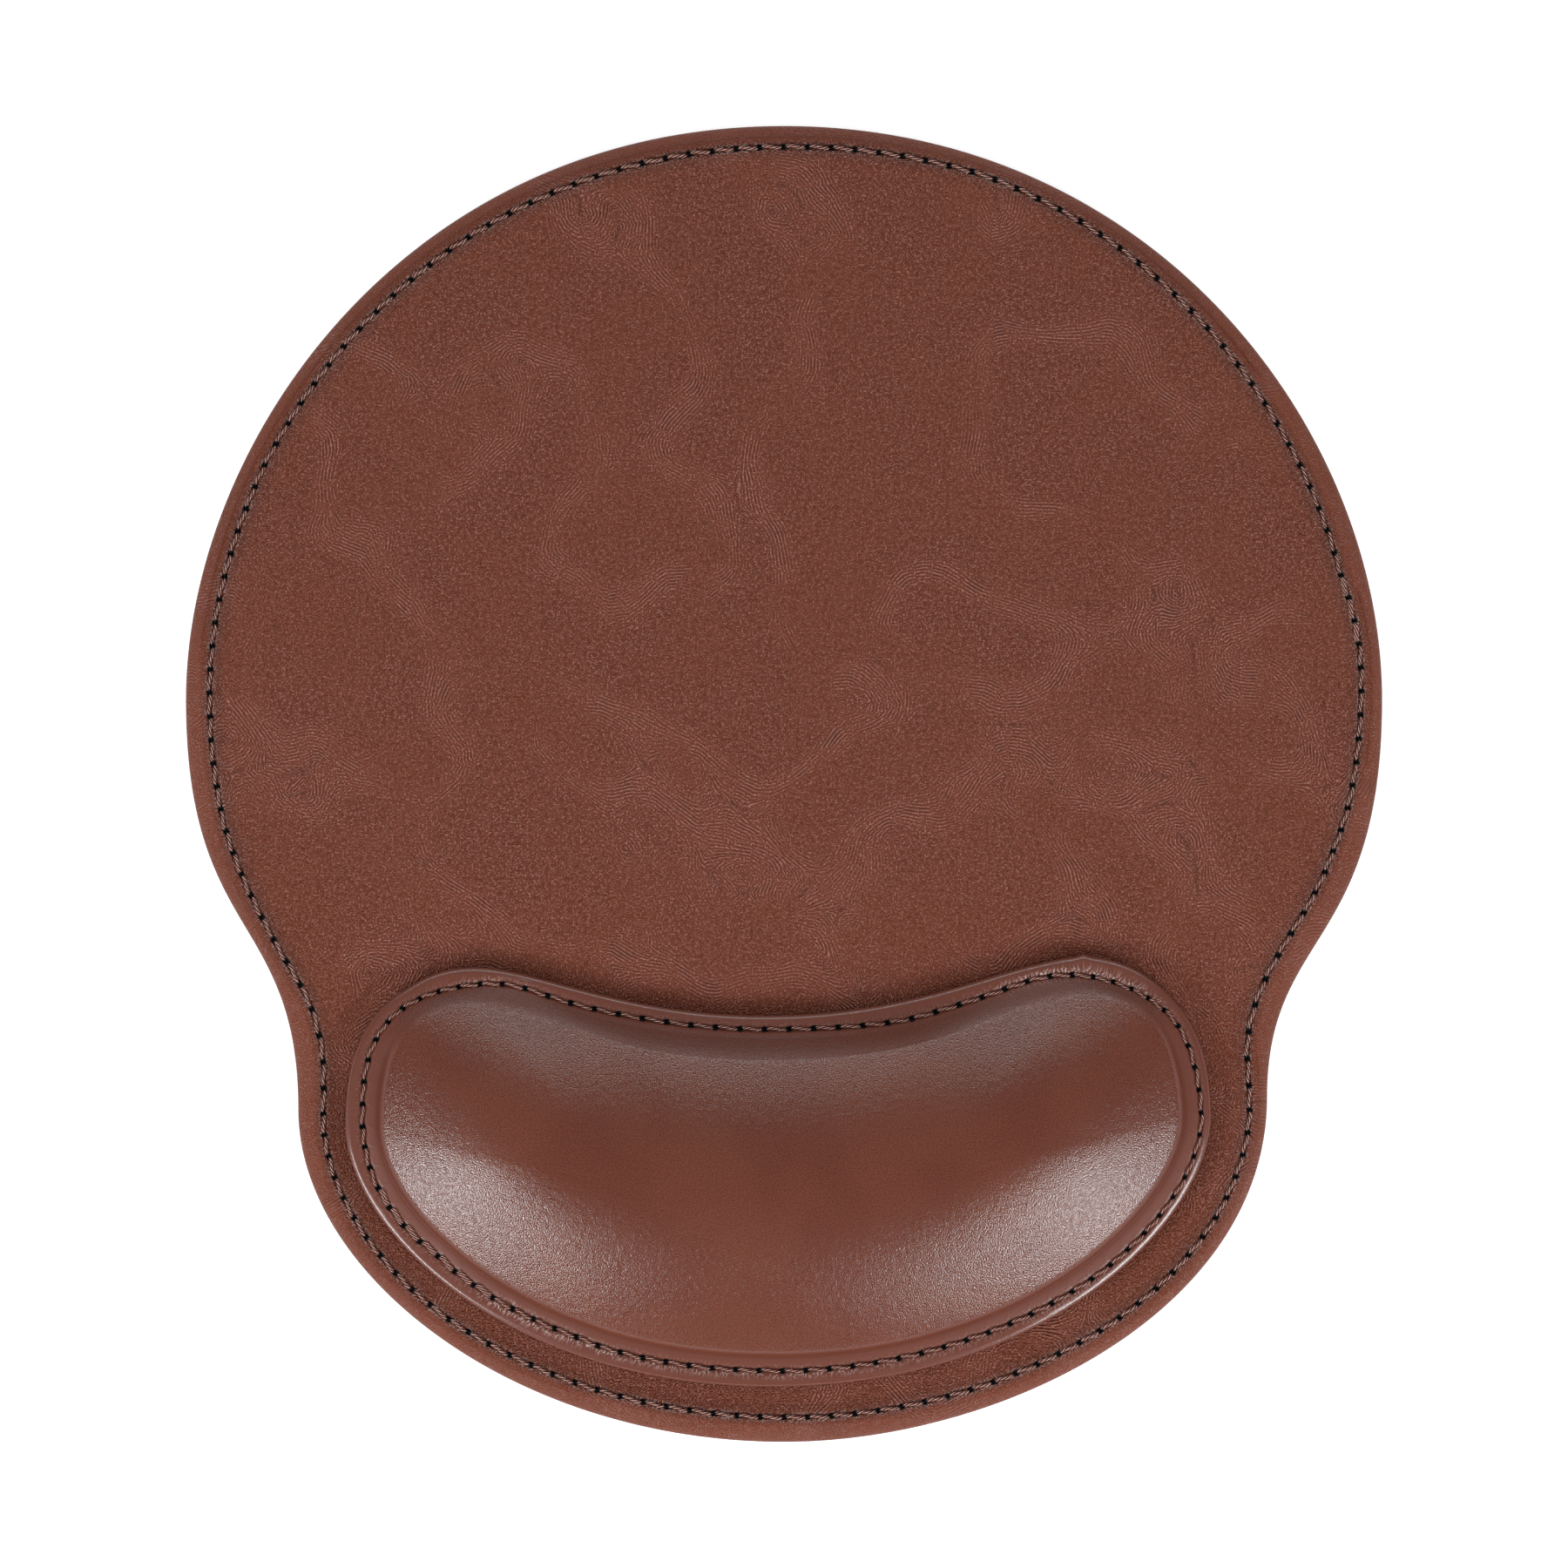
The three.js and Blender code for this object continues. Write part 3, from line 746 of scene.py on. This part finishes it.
def twisted_thread(name, route, level, radius, steps=36, sides=12, arch=THREAD_ARCH, dip=THREAD_DIP,
                   span=None, aside=0.0):
    """A rope along a seam: all round it, or over the span of stitches that is given.

    Its middle line arches over each stitch and dips at whole stitch numbers; its section is a
    circle whose radius swells once per ply, and the swelling turns steadily along the rope.
    """
    loop, run, stitches = route
    first, last = span or (0, stitches)
    whole = span is None
    along = np.arange(first * steps - 1, last * steps + (1 if whole else 2)) / steps
    points, normals = walk(loop, along / stitches)
    part = along - np.floor(along)
    number = np.mod(np.floor(along), stitches) + aside / MM
    slant = STITCH_SLANT * np.sin(2 * np.pi * part)
    slant = slant + STITCH_BEND * jitter(number, 3.0) * np.sin(np.pi * part)
    middle = points + normals * (run_inset(run, loop, along / stitches) + slant + aside)[:, None]
    height = level + arch * (1 + 0.15 * jitter(number, 5.0))
    height = height - dip * bell(np.minimum(part, 1 - part), DIP_SHARE)
    centre = np.column_stack([middle, height])
    tangent = unit(centre[2:] - centre[:-2])
    centre, along = centre[1:-1], along[1:-1]
    across = np.column_stack([normals, np.zeros(len(normals))])[1:-1]
    across = unit(across - tangent * np.einsum("ij,ij->i", tangent, across)[:, None])
    up = np.cross(across, tangent)
    angle = 2 * np.pi * np.arange(sides) / sides
    twist = 2 * np.pi * np.round(TWISTS_PER_STITCH * stitches) / stitches * along
    ply = PLIES * (angle[:, None] - twist[None, :])
    swell = radius * (1 - PLY_DEPTH + PLY_DEPTH * np.cos(ply))
    rows = (centre[None] + across[None] * (swell * np.cos(angle)[:, None])[..., None]
            + up[None] * (swell * np.sin(angle)[:, None])[..., None])
    return rope_piece(name, rows, along, ply, whole)


def rope_piece(name, rows, along, ply, whole):
    """Sections joined into a mesh, with UV x counting stitches and y the ply's phase.

    A whole rope closes on itself; a part of one gets a flat end at each side.
    """
    sides, around = rows.shape[:2]
    cells = around if whole else around - 1
    vertices = rows.reshape(-1, 3)
    quads = grid_quads(sides, around, sides, cells)
    step, drop, lift = along[1] - along[0], ply[0, 1] - ply[0, 0], PLIES * 2 * np.pi / sides
    start = np.dstack([np.tile(along[:cells], (sides, 1)), ply[:, :cells]])
    corners = np.array([(0, 0), (step, drop), (step, drop + lift), (0, lift)])
    uv = (start[:, :, None] + corners).reshape(-1, 4, 2)
    if signed_volume(vertices, quads) < 0:
        quads, uv = quads[:, ::-1], uv[:, ::-1]
    first = np.arange(sides) * around
    rings = np.stack([first, first[::-1] + around - 1])[: 0 if whole else 2]
    seam = np.vstack([uv.reshape(-1, 2), np.zeros((rings.size, 2))])
    return smooth_piece(name, vertices, quads, rings, seam, "thread", THREAD_FINISH)


THREAD_FINISH = thread_material()
PAD_ROUTE = (PAD_LOOP, PAD_SEAM_RUN, PAD_STITCHES)
pad_thread = twisted_thread("pad_seam_thread", PAD_ROUTE, PAD_TOP, PAD_THREAD_RADIUS)
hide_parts("pad_needle_thread")
twisted_thread("pad_lock_thread", PAD_ROUTE, PAD_TOP, LOCK_THREAD_RADIUS, span=PAD_LOCK_STITCHES,
               aside=LOCK_ASIDE)

# Lower threads. The same thread, thinner, pulled into the groove under each sheet.
pad_lower = twisted_thread("pad_seam_lower_thread", PAD_ROUTE, level=0.36 * MM, radius=0.24 * MM,
                           steps=8, sides=6, arch=0.0, dip=-0.1 * MM)
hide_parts("pad_bobbin_thread")


# Wrist-rest leather. Smoother brown leather pressed over the foam: a flat flange with a
# turned edge, a seam, a hollow foot round the cushion, a crease, and the full crown.
REST_FRONT = 11.0 * MM
REST_MIDDLE = -0.25 * MM
REST_TURN = math.radians(0.95)
REST_HALF_WIDTH = 83.0 * MM
REST_DEPTH = 81.4 * MM
REST_DIP = 10.2 * MM
REST_WIDEST = 50.9 * MM
REST_CORNER = 24.7 * MM
REST_CURVE_SHARES = (0.64, 0.37, 0.39, 0.85, 0.215, 0.505)
REST_STITCHES = 91
REST_SEAM_INSET = 2.9 * MM
# The same for the rest's seam, measured round its edge from the middle of its front.
REST_SEAM_RUN = np.array([
    (0, 3.17), (33, 3.15), (50, 2.75), (67.5, 2.17), (80, 1.95), (91, 1.75), (104.7, 1.9), (123, 2.6),
    (133, 4.1), (139, 4.4), (144, 4.2), (149, 3.6), (159, 2.7), (167, 3.1), (185, 3.75), (193, 3.3),
    (206, 2.65), (226, 2.6), (240, 2.9), (248.6, 3.1), (257.7, 2.5), (262.7, 2.6), (267, 3.25),
    (271.5, 3.7), (277, 3.85), (282.3, 3.75), (287, 3.3), (293, 2.9), (298, 2.75), (307, 3.2),
    (312, 3.4), (316, 3.5), (326, 2.9), (331, 2.67), (340, 2.9), (344.6, 3.5), (349.6, 3.2), (358, 3.3),
    (368, 3.4), (378, 3.5), (382.5, 3.1), (397.5, 3.2), (414, 3.3),
]) * MM
REST_SEAM_STOP = 1.15 * MM
# A tuck of the leather beside the seam, at this count of stitches from the front.
REST_TUCK = 78.75
TUCK_LONG = 0.55 * MM
TUCK_WIDE = 0.5 * MM
TUCK_INSET = 0.55 * MM
TUCK_DEPTH = 0.4 * MM
# Where the turned edge of the flange bulges out or draws in, measured the same way.
REST_EDGE_RUN = np.array([
    (0, 0), (118, 0), (125.5, 0.4), (130, 0.85), (134, 0.8), (142, 0.25), (149, -0.2), (155, 0.1),
    (165, 0), (270, 0), (276, 0.25), (282, 0.95), (288.5, 0.4), (300, -0.1), (312, 0),
]) * MM
# How strongly the flange is gathered into small folds outside the seam, measured the same way.
REST_GATHER_RUN = np.array([
    (0, 0.5), (35, 0.3), (45, 0.15), (60, 0.4), (75, 0.1), (125, 0.1), (136, 0.7), (150, 1.0), (160, 0.8),
    (170, 0.15), (255, 0.1), (264, 0.5), (275, 0.1), (310, 0.1), (355, 0.2), (361, 1.0), (372, 0.9),
    (388, 0.6), (400, 0.45), (414, 0.5),
]) * MM
# A fold of the turned edge stands out as a small tip: its place round the edge, reach and width.
REST_TIP = (149.4 * MM, 0.45 * MM, 0.9 * MM)
REST_SEAM_SHIFT = 0.5 * MM
REST_LEATHER = 0.8 * MM
REST_HEM = 9 * MM
REST_HEM_BOTTOM = PAD_TOP + 1.1 * MM
FLANGE_TOP = PAD_TOP + 3.4 * MM
REST_RIM_TOP = 1.1 * MM
REST_RIM_BOTTOM = 0.9 * MM
CROWN_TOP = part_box("rest_leather_cover")[1][2]
FOOT_WIDTH = 2.9 * MM
FOOT_START = 0.3 * MM
FOOT_RISE = 0.6 * MM
WALL_WIDTH = 4.3 * MM
WALL_RISE_FRONT = 2.4 * MM
WALL_RISE_BUMP = 2.7 * MM
WALL_RISE_DIP = 5.6 * MM
WALL_BEND = 1.1
DIP_SET_BACK = 1.3 * MM
DIP_FULL = 20 * MM
DIP_END = 50 * MM
SPINE_HALF = 45 * MM
SPINE_RISE = 8.5 * MM
SPINE_DROOP = 1.2 * MM
CROWN_POWER = 1.9
REST_BROWN = (0.154, 0.0365, 0.018, 1)
REST_BROWN_WARM = (0.169, 0.043, 0.0215, 1)
FLANGE_BROWN = (0.138, 0.040, 0.025, 1)
REST_GRAIN_DEPTH = 0.040 * MM


def rest_side():
    """Three curves: front to the widest place, round the corner, and down to the dip."""
    front, low, high, outer, inner, dip = REST_CURVE_SHARES
    half, corner = REST_HALF_WIDTH, REST_HALF_WIDTH - REST_CORNER
    rise, dip_y = REST_DEPTH - REST_WIDEST, REST_DEPTH - REST_DIP
    return [
        [(0, 0), (half * front, 0), (half, REST_WIDEST * (1 - low)), (half, REST_WIDEST)],
        [(half, REST_WIDEST), (half, REST_WIDEST + rise * high),
         (corner + REST_CORNER * outer, REST_DEPTH), (corner, REST_DEPTH)],
        [(corner, REST_DEPTH), (corner * (1 - inner), REST_DEPTH), (corner * dip, dip_y), (0, dip_y)],
    ]


def laid(flat):
    """Points of the rest turned and moved to where it lies on the pad."""
    x, y = flat[..., 0], flat[..., 1]
    cosine, sine = math.cos(REST_TURN), math.sin(REST_TURN)
    return np.stack([x * cosine - y * sine + REST_MIDDLE,
                     x * sine + y * cosine + REST_FRONT - PAD_DEPTH / 2], axis=-1)


def smooth(share):
    """Smooth step from 0 to 1; the share is held between them."""
    share = np.clip(share, 0, 1)
    return share * share * (3 - 2 * share)


def back_share(normals):
    """1 along the rest's back edge, towards the mousing area, 0 along its sides and front."""
    return smooth((-normals[:, 1] - 0.2) / 0.6)


def dip_share(points):
    """Smooth step: 1 across the dip in the middle of the rest, 0 towards its sides."""
    return smooth((DIP_END - np.abs(points[:, 0])) / (DIP_END - DIP_FULL))


def wall_rise(points, normals):
    """Height of the wall: highest at the back's dip, lower over the two bumps and in front."""
    back = WALL_RISE_BUMP + (WALL_RISE_DIP - WALL_RISE_BUMP) * dip_share(points)
    return WALL_RISE_FRONT + (back - WALL_RISE_FRONT) * back_share(normals)


def wall_inset(points, normals):
    """Distance of the wall's top from the rest's edge, as a column; more at the back's dip."""
    set_back = DIP_SET_BACK * dip_share(points) * back_share(normals)
    return (REST_SEAM_INSET + WALL_WIDTH + set_back)[:, None]


def wall_profile(inward, points, normals):
    """Height over the flange, from the seam to the wall's top, for each row and each point.

    At the front and sides the foot is hollow up to a crease and the wall rises from there. At
    the back one steep wall rises from the seam.
    """
    inward = inward[:, None]
    hollow = np.clip((inward - FOOT_START) / (FOOT_WIDTH - FOOT_START), 0, 1)
    rise = np.clip((inward - FOOT_WIDTH) / (WALL_WIDTH - FOOT_WIDTH), 0, 1)
    front = (FOOT_RISE * hollow**1.2) / WALL_RISE_FRONT
    front = front + (1 - FOOT_RISE / WALL_RISE_FRONT) * np.sin(rise * WALL_BEND) / np.sin(WALL_BEND)
    straight = np.clip((inward - FOOT_START) / (WALL_WIDTH - FOOT_START), 0, 1)
    back = straight * (1 - 0.4 * np.exp(-straight / 0.05)) + 0.04 * np.sin(np.pi * straight)
    share = back_share(normals)
    return (front * (1 - share) + back * share) * wall_rise(points, normals)


def crown_rows(points, normals, shares, foot_inset, foot_level, top, drop=0.0):
    """Rows from the wall's top to the spine: each point slides straight to its spine point.

    The height follows 1 - (1 - share) ** power, so the crown is steep at the wall and level
    along the spine, and it falls a little towards the spine's ends.
    """
    foot = points + normals * foot_inset
    spine_x = foot[:, 0] * SPINE_HALF / REST_HALF_WIDTH
    spine_y = (REST_DEPTH - REST_DIP) / 2 + SPINE_RISE * (spine_x / SPINE_HALF) ** 2
    spine = np.column_stack([spine_x, spine_y])
    flat = foot[None] + (spine - foot)[None] * shares[:, None, None]
    rise = 1 - (1 - shares) ** CROWN_POWER
    droop = SPINE_DROOP * (spine_x / SPINE_HALF) ** 2
    height = foot_level + (top - foot_level - droop) * rise[:, None] - drop
    return np.dstack([flat, height])


def rest_leather_material():
    """Smooth leather: a fine pebble grain with painted shade in its hollows, and warm cloudy dye; painted
    shade in the crease, the groove and the holes, and a painted highlight on the gathered folds' tops.
    """
    material, tree = new_material("rest_leather")
    place = millimetres(tree)
    seam = seam_place(tree)
    inward = parts(seam)[1]
    marks = use_group(tree, NEEDLE_MARKS, Seam=seam, Pitch=4.4)
    back = add(tree, "Attribute", {"attribute_name": "back"}, out="Fac")
    gathered = add(tree, "Attribute", {"attribute_name": "gather"}, out="Fac")
    crown = step_up(inward, 2.6, 4.6)
    flange = step_up(inward, -0.3, -0.8)
    rim = step_up(inward, -1.5, -2.2)
    wall = back * step_up(inward, 0.6, 1.2)
    # Painted shade: a faint darkening along the crease at the wall's foot, except at the back.
    crease = step_up(abs(inward - 3.0), 0.8, 0.1) * (1.0 - back)
    gather = gathered * (flange * 0.75 + 0.25)
    grained = maximum(crown, maximum(wall, flange * 0.2))
    swayed = noise(place, 0.9, 1.0, out="Color").vector("MULTIPLY_ADD", (0.4, 0.4, 0), place)
    cells = add(tree, "TexVoronoi", {"voronoi_dimensions": "2D", "feature": "SMOOTH_F1"},
                Vector=swayed, Scale=3.5, Smoothness=0.3)
    pebble = (0.5 - cells) * 1.3 + noise(place, 3.4, 2.0) * 0.55
    # Painted shade: the pebble grain's hollows darkened towards black.
    hollow = step_up(pebble, 0.60, 0.25) * grained
    shade = blend(step_up(noise(place, 0.04, 2.0), 0.35, 0.65), REST_BROWN, REST_BROWN_WARM)
    shade = blend((1.0 - crown) * 0.8, shade, FLANGE_BROWN)
    for dark in (hollow * 0.34, crease * 0.15):
        shade = blend(dark, shade, PAINTED_SHADE_BLACK)
    # Painted highlight on the tops of the gathered folds, strongest on the flange.
    shade = blend(marks["Fold"] * gather * 0.85, shade, FOLD_HIGHLIGHT)
    # Painted shade in the groove by the thread and black in the needle holes.
    for dark in (marks["Line"] * 0.25, marks["Hole"]):
        shade = blend(dark, shade, PAINTED_SHADE_BLACK)
    height = pebble * grained + marks["Gather"] * gather * 4.0
    rough = 0.38 - rim * 0.12 - crown * 0.12 + marks["Hole"] * 0.4
    shine = (maximum(crown, rim) * 0.45 + 0.40) * (1.0 - crease * 0.6)
    return finished(material, Base_Color=shade, Roughness=rough, Specular_IOR_Level=shine,
                    Normal=bumped(height, REST_GRAIN_DEPTH))


REST_LOOP = mirrored_loop(rest_side(), rest_side())
along = stitch_places(REST_STITCHES)
shares = along / REST_STITCHES
points, normals = walk(REST_LOOP, shares)
seam_points = points + np.array([REST_SEAM_SHIFT, 0])
rest_pitch = loop_length(REST_LOOP) / REST_STITCHES
rest_seam = run_inset(REST_SEAM_RUN, REST_LOOP, shares)[None]
rest_edge = run_inset(REST_EDGE_RUN, REST_LOOP, shares)[None]
tip_place, tip_reach, tip_width = REST_TIP
tip = np.exp(-np.abs((along * rest_pitch - tip_place) / tip_width) ** 1.5)
rest_edge = rest_edge - tip_reach * tip[None]

# Places across the rest's foot and seam, in millimetres inwards from the thread. Those of the
# foot share out the way to the wall's top, those of the seam keep their distance to the thread.
foot_steps = np.array([4.15, 4.0, 3.8, 3.6, 3.4, 3.2, 3.08, 2.98, 2.92, 2.88, 2.75, 2.45, 2.1, 1.75,
                       1.4, 1.1]) * MM
near_steps = np.array([0.85, 0.65, 0.45, 0.3, 0.15, 0, -0.15, -0.3, -0.45, -0.65, -0.85, -1.1,
                       -1.35]) * MM
every_step = np.concatenate([foot_steps, near_steps])
wall_top_inset = wall_inset(seam_points, normals)
wall_edge = seam_points + normals * wall_top_inset
seam_line = points + normals * rest_seam.T
way = wall_edge - seam_line
part = (foot_steps / WALL_WIDTH)[:, None, None]
narrow = np.clip(np.linalg.norm(way, axis=1) / WALL_WIDTH, 0.5, 1)[None]
near_insets = run_rows(near_steps, rest_seam, REST_SEAM_STOP + rest_edge)
near_insets = np.where(near_steps[:, None] > 0, rest_seam + near_steps[:, None] * narrow, near_insets)
near_flat = points[None] + normals[None] * near_insets[..., None]
foot_flat = np.vstack([seam_line[None] + way[None] * part, near_flat])
foot_heights = FLANGE_TOP + wall_profile(every_step, seam_points, normals)
foot_heights += 0.8 * seam_relief(along, every_step, rest_pitch, REST_STITCHES, -1.0)
tuck = bell((along - REST_TUCK) * rest_pitch, TUCK_LONG)
foot_heights -= TUCK_DEPTH * tuck * bell(every_step - TUCK_INSET, TUCK_WIDE)[:, None]
foot_rows = np.dstack([foot_flat, foot_heights])
wall_top = FLANGE_TOP + wall_rise(seam_points, normals)
crown_share = np.array([0.995, 0.98, 0.95, 0.91, 0.86, 0.80, 0.73, 0.66, 0.59, 0.52, 0.455, 0.395,
                        0.34, 0.29, 0.245, 0.205, 0.165, 0.13, 0.10, 0.072, 0.046, 0.022, 0.0])
crown = crown_rows(seam_points, normals, crown_share, wall_top_inset, wall_top, CROWN_TOP)
rim_turn = np.linspace(0, 1, 10)[:, None]
rest_rim_insets, rest_rim_heights = rim_arc(REST_RIM_TOP, rim_turn, FLANGE_TOP, REST_HEM_BOTTOM,
                                            REST_RIM_TOP, REST_RIM_BOTTOM)
rest_rim = ring_rows(points, normals, rest_rim_insets + rest_edge, rest_rim_heights)
inner_rows = turned_hem(points, normals, REST_HEM, REST_LEATHER, REST_HEM_BOTTOM, FLANGE_TOP)
inside_foot = ring_rows(seam_points, normals, [REST_SEAM_INSET + FOOT_WIDTH + REST_LEATHER],
                        [FLANGE_TOP - REST_LEATHER])
inside_share = np.array([0.0, 0.06, 0.16, 0.3, 0.5, 0.75, 0.97])
inside_crown = crown_rows(seam_points, normals, inside_share, wall_top_inset + REST_LEATHER,
                          wall_top, CROWN_TOP, drop=REST_LEATHER)
rest_rows = np.concatenate([crown, foot_rows, rest_rim, inner_rows, inside_foot, inside_crown])
rest_across = np.concatenate([
    np.linspace(40, 6, len(crown)),
    every_step / MM,
    ((rest_rim_insets - REST_SEAM_INSET) / MM).ravel(),
    np.full(len(inner_rows) + 1 + len(inside_crown), 20.0),
])
rest_across = np.repeat(rest_across[:, None], len(points), axis=1)
rest_rows[..., :2] = laid(rest_rows[..., :2])
rest_marks = {"back": back_share(normals), "gather": run_inset(REST_GATHER_RUN, REST_LOOP, shares) / MM}
rest_cover = closed_piece("wrist_rest_leather", rest_rows, "rest_leather", rest_leather_material(),
                          uv=(along, rest_across, REST_STITCHES), ends=("join", "join"),
                          marks=rest_marks)
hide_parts("rest_leather_cover")

REST_ROUTE = (laid(REST_LOOP), REST_SEAM_RUN, REST_STITCHES)
rest_thread = twisted_thread("rest_seam_thread", REST_ROUTE, FLANGE_TOP, REST_THREAD_RADIUS)
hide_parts("rest_needle_thread")
twisted_thread("rest_lock_thread", REST_ROUTE, FLANGE_TOP, LOCK_THREAD_RADIUS, span=REST_LOCK_STITCHES,
               aside=LOCK_ASIDE)
rest_lower = twisted_thread("rest_seam_lower_thread", REST_ROUTE, level=PAD_TOP + 0.32 * MM,
                            radius=0.19 * MM, steps=8, sides=6, arch=0.0, dip=-0.08 * MM)
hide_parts("rest_bobbin_thread")


# Foam cushion under the leather. One block of moulded open-cell foam that stands on the board.
FOAM_GAP = REST_LEATHER + 0.3 * MM
FOAM_COLUMNS = 242
FOAM_COLOUR = (0.80, 0.75, 0.62, 1)
FOAM_SHADE = (0.62, 0.56, 0.42, 1)
FOAM_CELL_DEPTH = 0.3 * MM


def foam_material():
    """Open-cell foam: small round cells with darker pits between pale walls."""
    material, tree = new_material("cushion_foam")
    cells = add(tree, "TexVoronoi", Vector=millimetres(tree), Scale=1.4)
    shade = blend(step_up(cells, 0.2, 0.6), FOAM_SHADE, FOAM_COLOUR)
    return finished(material, Base_Color=shade, Roughness=0.95,
                    Normal=bumped(cells, FOAM_CELL_DEPTH, 0.6))


foam_points, foam_normals = walk(REST_LOOP, np.arange(FOAM_COLUMNS) / FOAM_COLUMNS)
foam_points = foam_points + np.array([REST_SEAM_SHIFT, 0])
foam_share = np.array([0.97, 0.75, 0.55, 0.38, 0.24, 0.13, 0.05, 0.0])
foam_inset = wall_inset(foam_points, foam_normals) + FOAM_GAP
foam_crown = crown_rows(foam_points, foam_normals, foam_share, foam_inset,
                        FLANGE_TOP + wall_rise(foam_points, foam_normals), CROWN_TOP, drop=FOAM_GAP)
foam_foot = ring_rows(foam_points, foam_normals, [REST_SEAM_INSET + FOOT_WIDTH + FOAM_GAP],
                      [FLANGE_TOP - REST_LEATHER])
foam_rows = np.concatenate([foam_crown, foam_foot])
foam_rows[..., :2] = laid(foam_rows[..., :2])
foam = closed_piece("wrist_rest_foam", foam_rows, "cushion_foam", foam_material(), ends=("join", "fan"))
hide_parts("rest_foam_cushion")


# Hidden sheets. The pad's foam core, the rest's board and backing, and the glue film keep
# their construction shapes and get the finish of the real sheet.
CORE_COLOURS = ((0.050, 0.050, 0.055, 1), (0.030, 0.030, 0.034, 1))
BOARD_COLOURS = ((0.35, 0.24, 0.13, 1), (0.24, 0.15, 0.075, 1))
BACKING_COLOURS = ((0.070, 0.030, 0.022, 1), (0.040, 0.017, 0.012, 1))
FILM_COLOURS = ((0.70, 0.64, 0.52, 1), (0.55, 0.48, 0.35, 1))
# Each sheet's finish, colours, mottles in a millimetre, their stretch, roughness and relief.
HIDDEN_SHEETS = {
    "pad_core_sheet": ("core_foam", CORE_COLOURS, 1.5, 1.0, 0.9, 0.2 * MM),
    "rest_board": ("pressed_board", BOARD_COLOURS, 1.2, 5.0, 0.85, 0.1 * MM),
    "rest_backing_sheet": ("backing_cloth", BACKING_COLOURS, 2.5, 1.0, 0.8, 0.1 * MM),
    "rest_bonding_film": ("bonding_film", FILM_COLOURS, 0.2, 1.0, 0.5, 0.1 * MM),
}


def sheet_material(name, colours, scale, stretch, roughness, relief):
    """A plain sheet: two tones mixed by a noise stretched along the sheet's run."""
    material, tree = new_material(name)
    place = millimetres(tree).vector("MULTIPLY", (scale, scale / stretch, scale))
    mottle = noise(place, 1.0, 4.0, dimensions="3D")
    shade = blend(step_up(mottle, 0.35, 0.65), colours[1], colours[0])
    return finished(material, Base_Color=shade, Roughness=roughness, Normal=bumped(mottle, relief, 0.4))


for node, values in HIDDEN_SHEETS.items():
    sheet_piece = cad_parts[node]
    sheet_piece.data.materials.clear()
    sheet_piece.data.materials.append(sheet_material(*values))


# Studio. A white table under a dim white sky. Two small softboxes stand low at the front
# corners, a long one stands low behind, and a pale card behind it fills the edges.
FLOOR_SIZE = 6.0
FLOOR_LEVEL = -0.15 * MM
WORLD_LOW = 0.12
WORLD_HIGH = 0.78
WORLD_MIRRORED = 0.07
LAMP_COLOUR = (0.92, 0.97, 1.0)


def direct_rays(tree):
    """1 for the rays that come straight from the camera or through something clear."""
    path = tree.nodes.new("ShaderNodeLightPath").outputs
    return maximum(Value(path["Is Camera Ray"]), Value(path["Is Transmission Ray"]))


def floor_material():
    """White paper: lit diffusely, and lifted for the camera's rays so that it reads white."""
    material, tree = new_material("white_table")
    tree.nodes.clear()
    paper = add(tree, "BsdfDiffuse", Color=(0.78, 0.78, 0.78, 1))
    lift = add(tree, "Emission", Color=(1, 1, 1, 1), Strength=direct_rays(tree) * 0.55)
    both = add(tree, "AddShader", None, paper, lift)
    feed(tree.nodes.new("ShaderNodeOutputMaterial"), both)
    return material


half = FLOOR_SIZE / 2
floor_mesh = bpy.data.meshes.new("table")
floor_mesh.from_pydata([(x, y, FLOOR_LEVEL) for x in (-half, half) for y in (-half, half)], [],
                       [(0, 2, 3, 1)])
floor = bpy.data.objects.new("table", floor_mesh)
floor_mesh.materials.append(floor_material())
bpy.context.collection.objects.link(floor)
floor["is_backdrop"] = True

world = bpy.data.worlds.new("studio")
bpy.context.scene.world = world
world.use_nodes = True
world_tree = world.node_tree
world_tree.nodes.clear()
upward = parts(add(world_tree, "TexCoord", out="Generated"))[2]
lit = ramp(upward, 0.0, 1.0, WORLD_LOW, WORLD_HIGH)
mirrored = add(world_tree, "LightPath", out="Is Glossy Ray")
plain = add(world_tree, "Mix", None, mirrored, i2=lit, i3=WORLD_MIRRORED)
level = maximum(direct_rays(world_tree), plain)
sky = add(world_tree, "Background", None, (1, 1, 1, 1), level)
feed(world_tree.nodes.new("ShaderNodeOutputWorld"), sky)


def softbox(name, azimuth, tilt, distance, height, width, radiance):
    """An oblong light aimed at the pad, from a direction tilted away from straight up."""
    data = bpy.data.lights.new(name, "AREA")
    data.shape = "RECTANGLE"
    data.size, data.size_y = height, width
    data.energy = radiance * math.pi * width * height
    data.color = LAMP_COLOUR
    light = bpy.data.objects.new(name, data)
    a, t = math.radians(azimuth), math.radians(tilt)
    light.location = (distance * math.sin(t) * math.cos(a), distance * math.sin(t) * math.sin(a),
                      distance * math.cos(t))
    light.rotation_euler = (0, t, a)
    bpy.context.collection.objects.link(light)


# Degrees round and from straight up, then distance, height, width and radiance.
softbox("front_left_softbox", 219, 62, 0.72, 0.18, 0.40, 14.6)
softbox("front_right_softbox", 315, 62, 0.72, 0.18, 0.40, 14.6)
softbox("back_light", 90, 60, 1.4, 0.22, 2.0, 5.1)
softbox("back_card", 90, 82, 1.4, 0.40, 2.4, 0.5)

size_file = {"cad": cad_box, "visual": [list(corner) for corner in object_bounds()]}
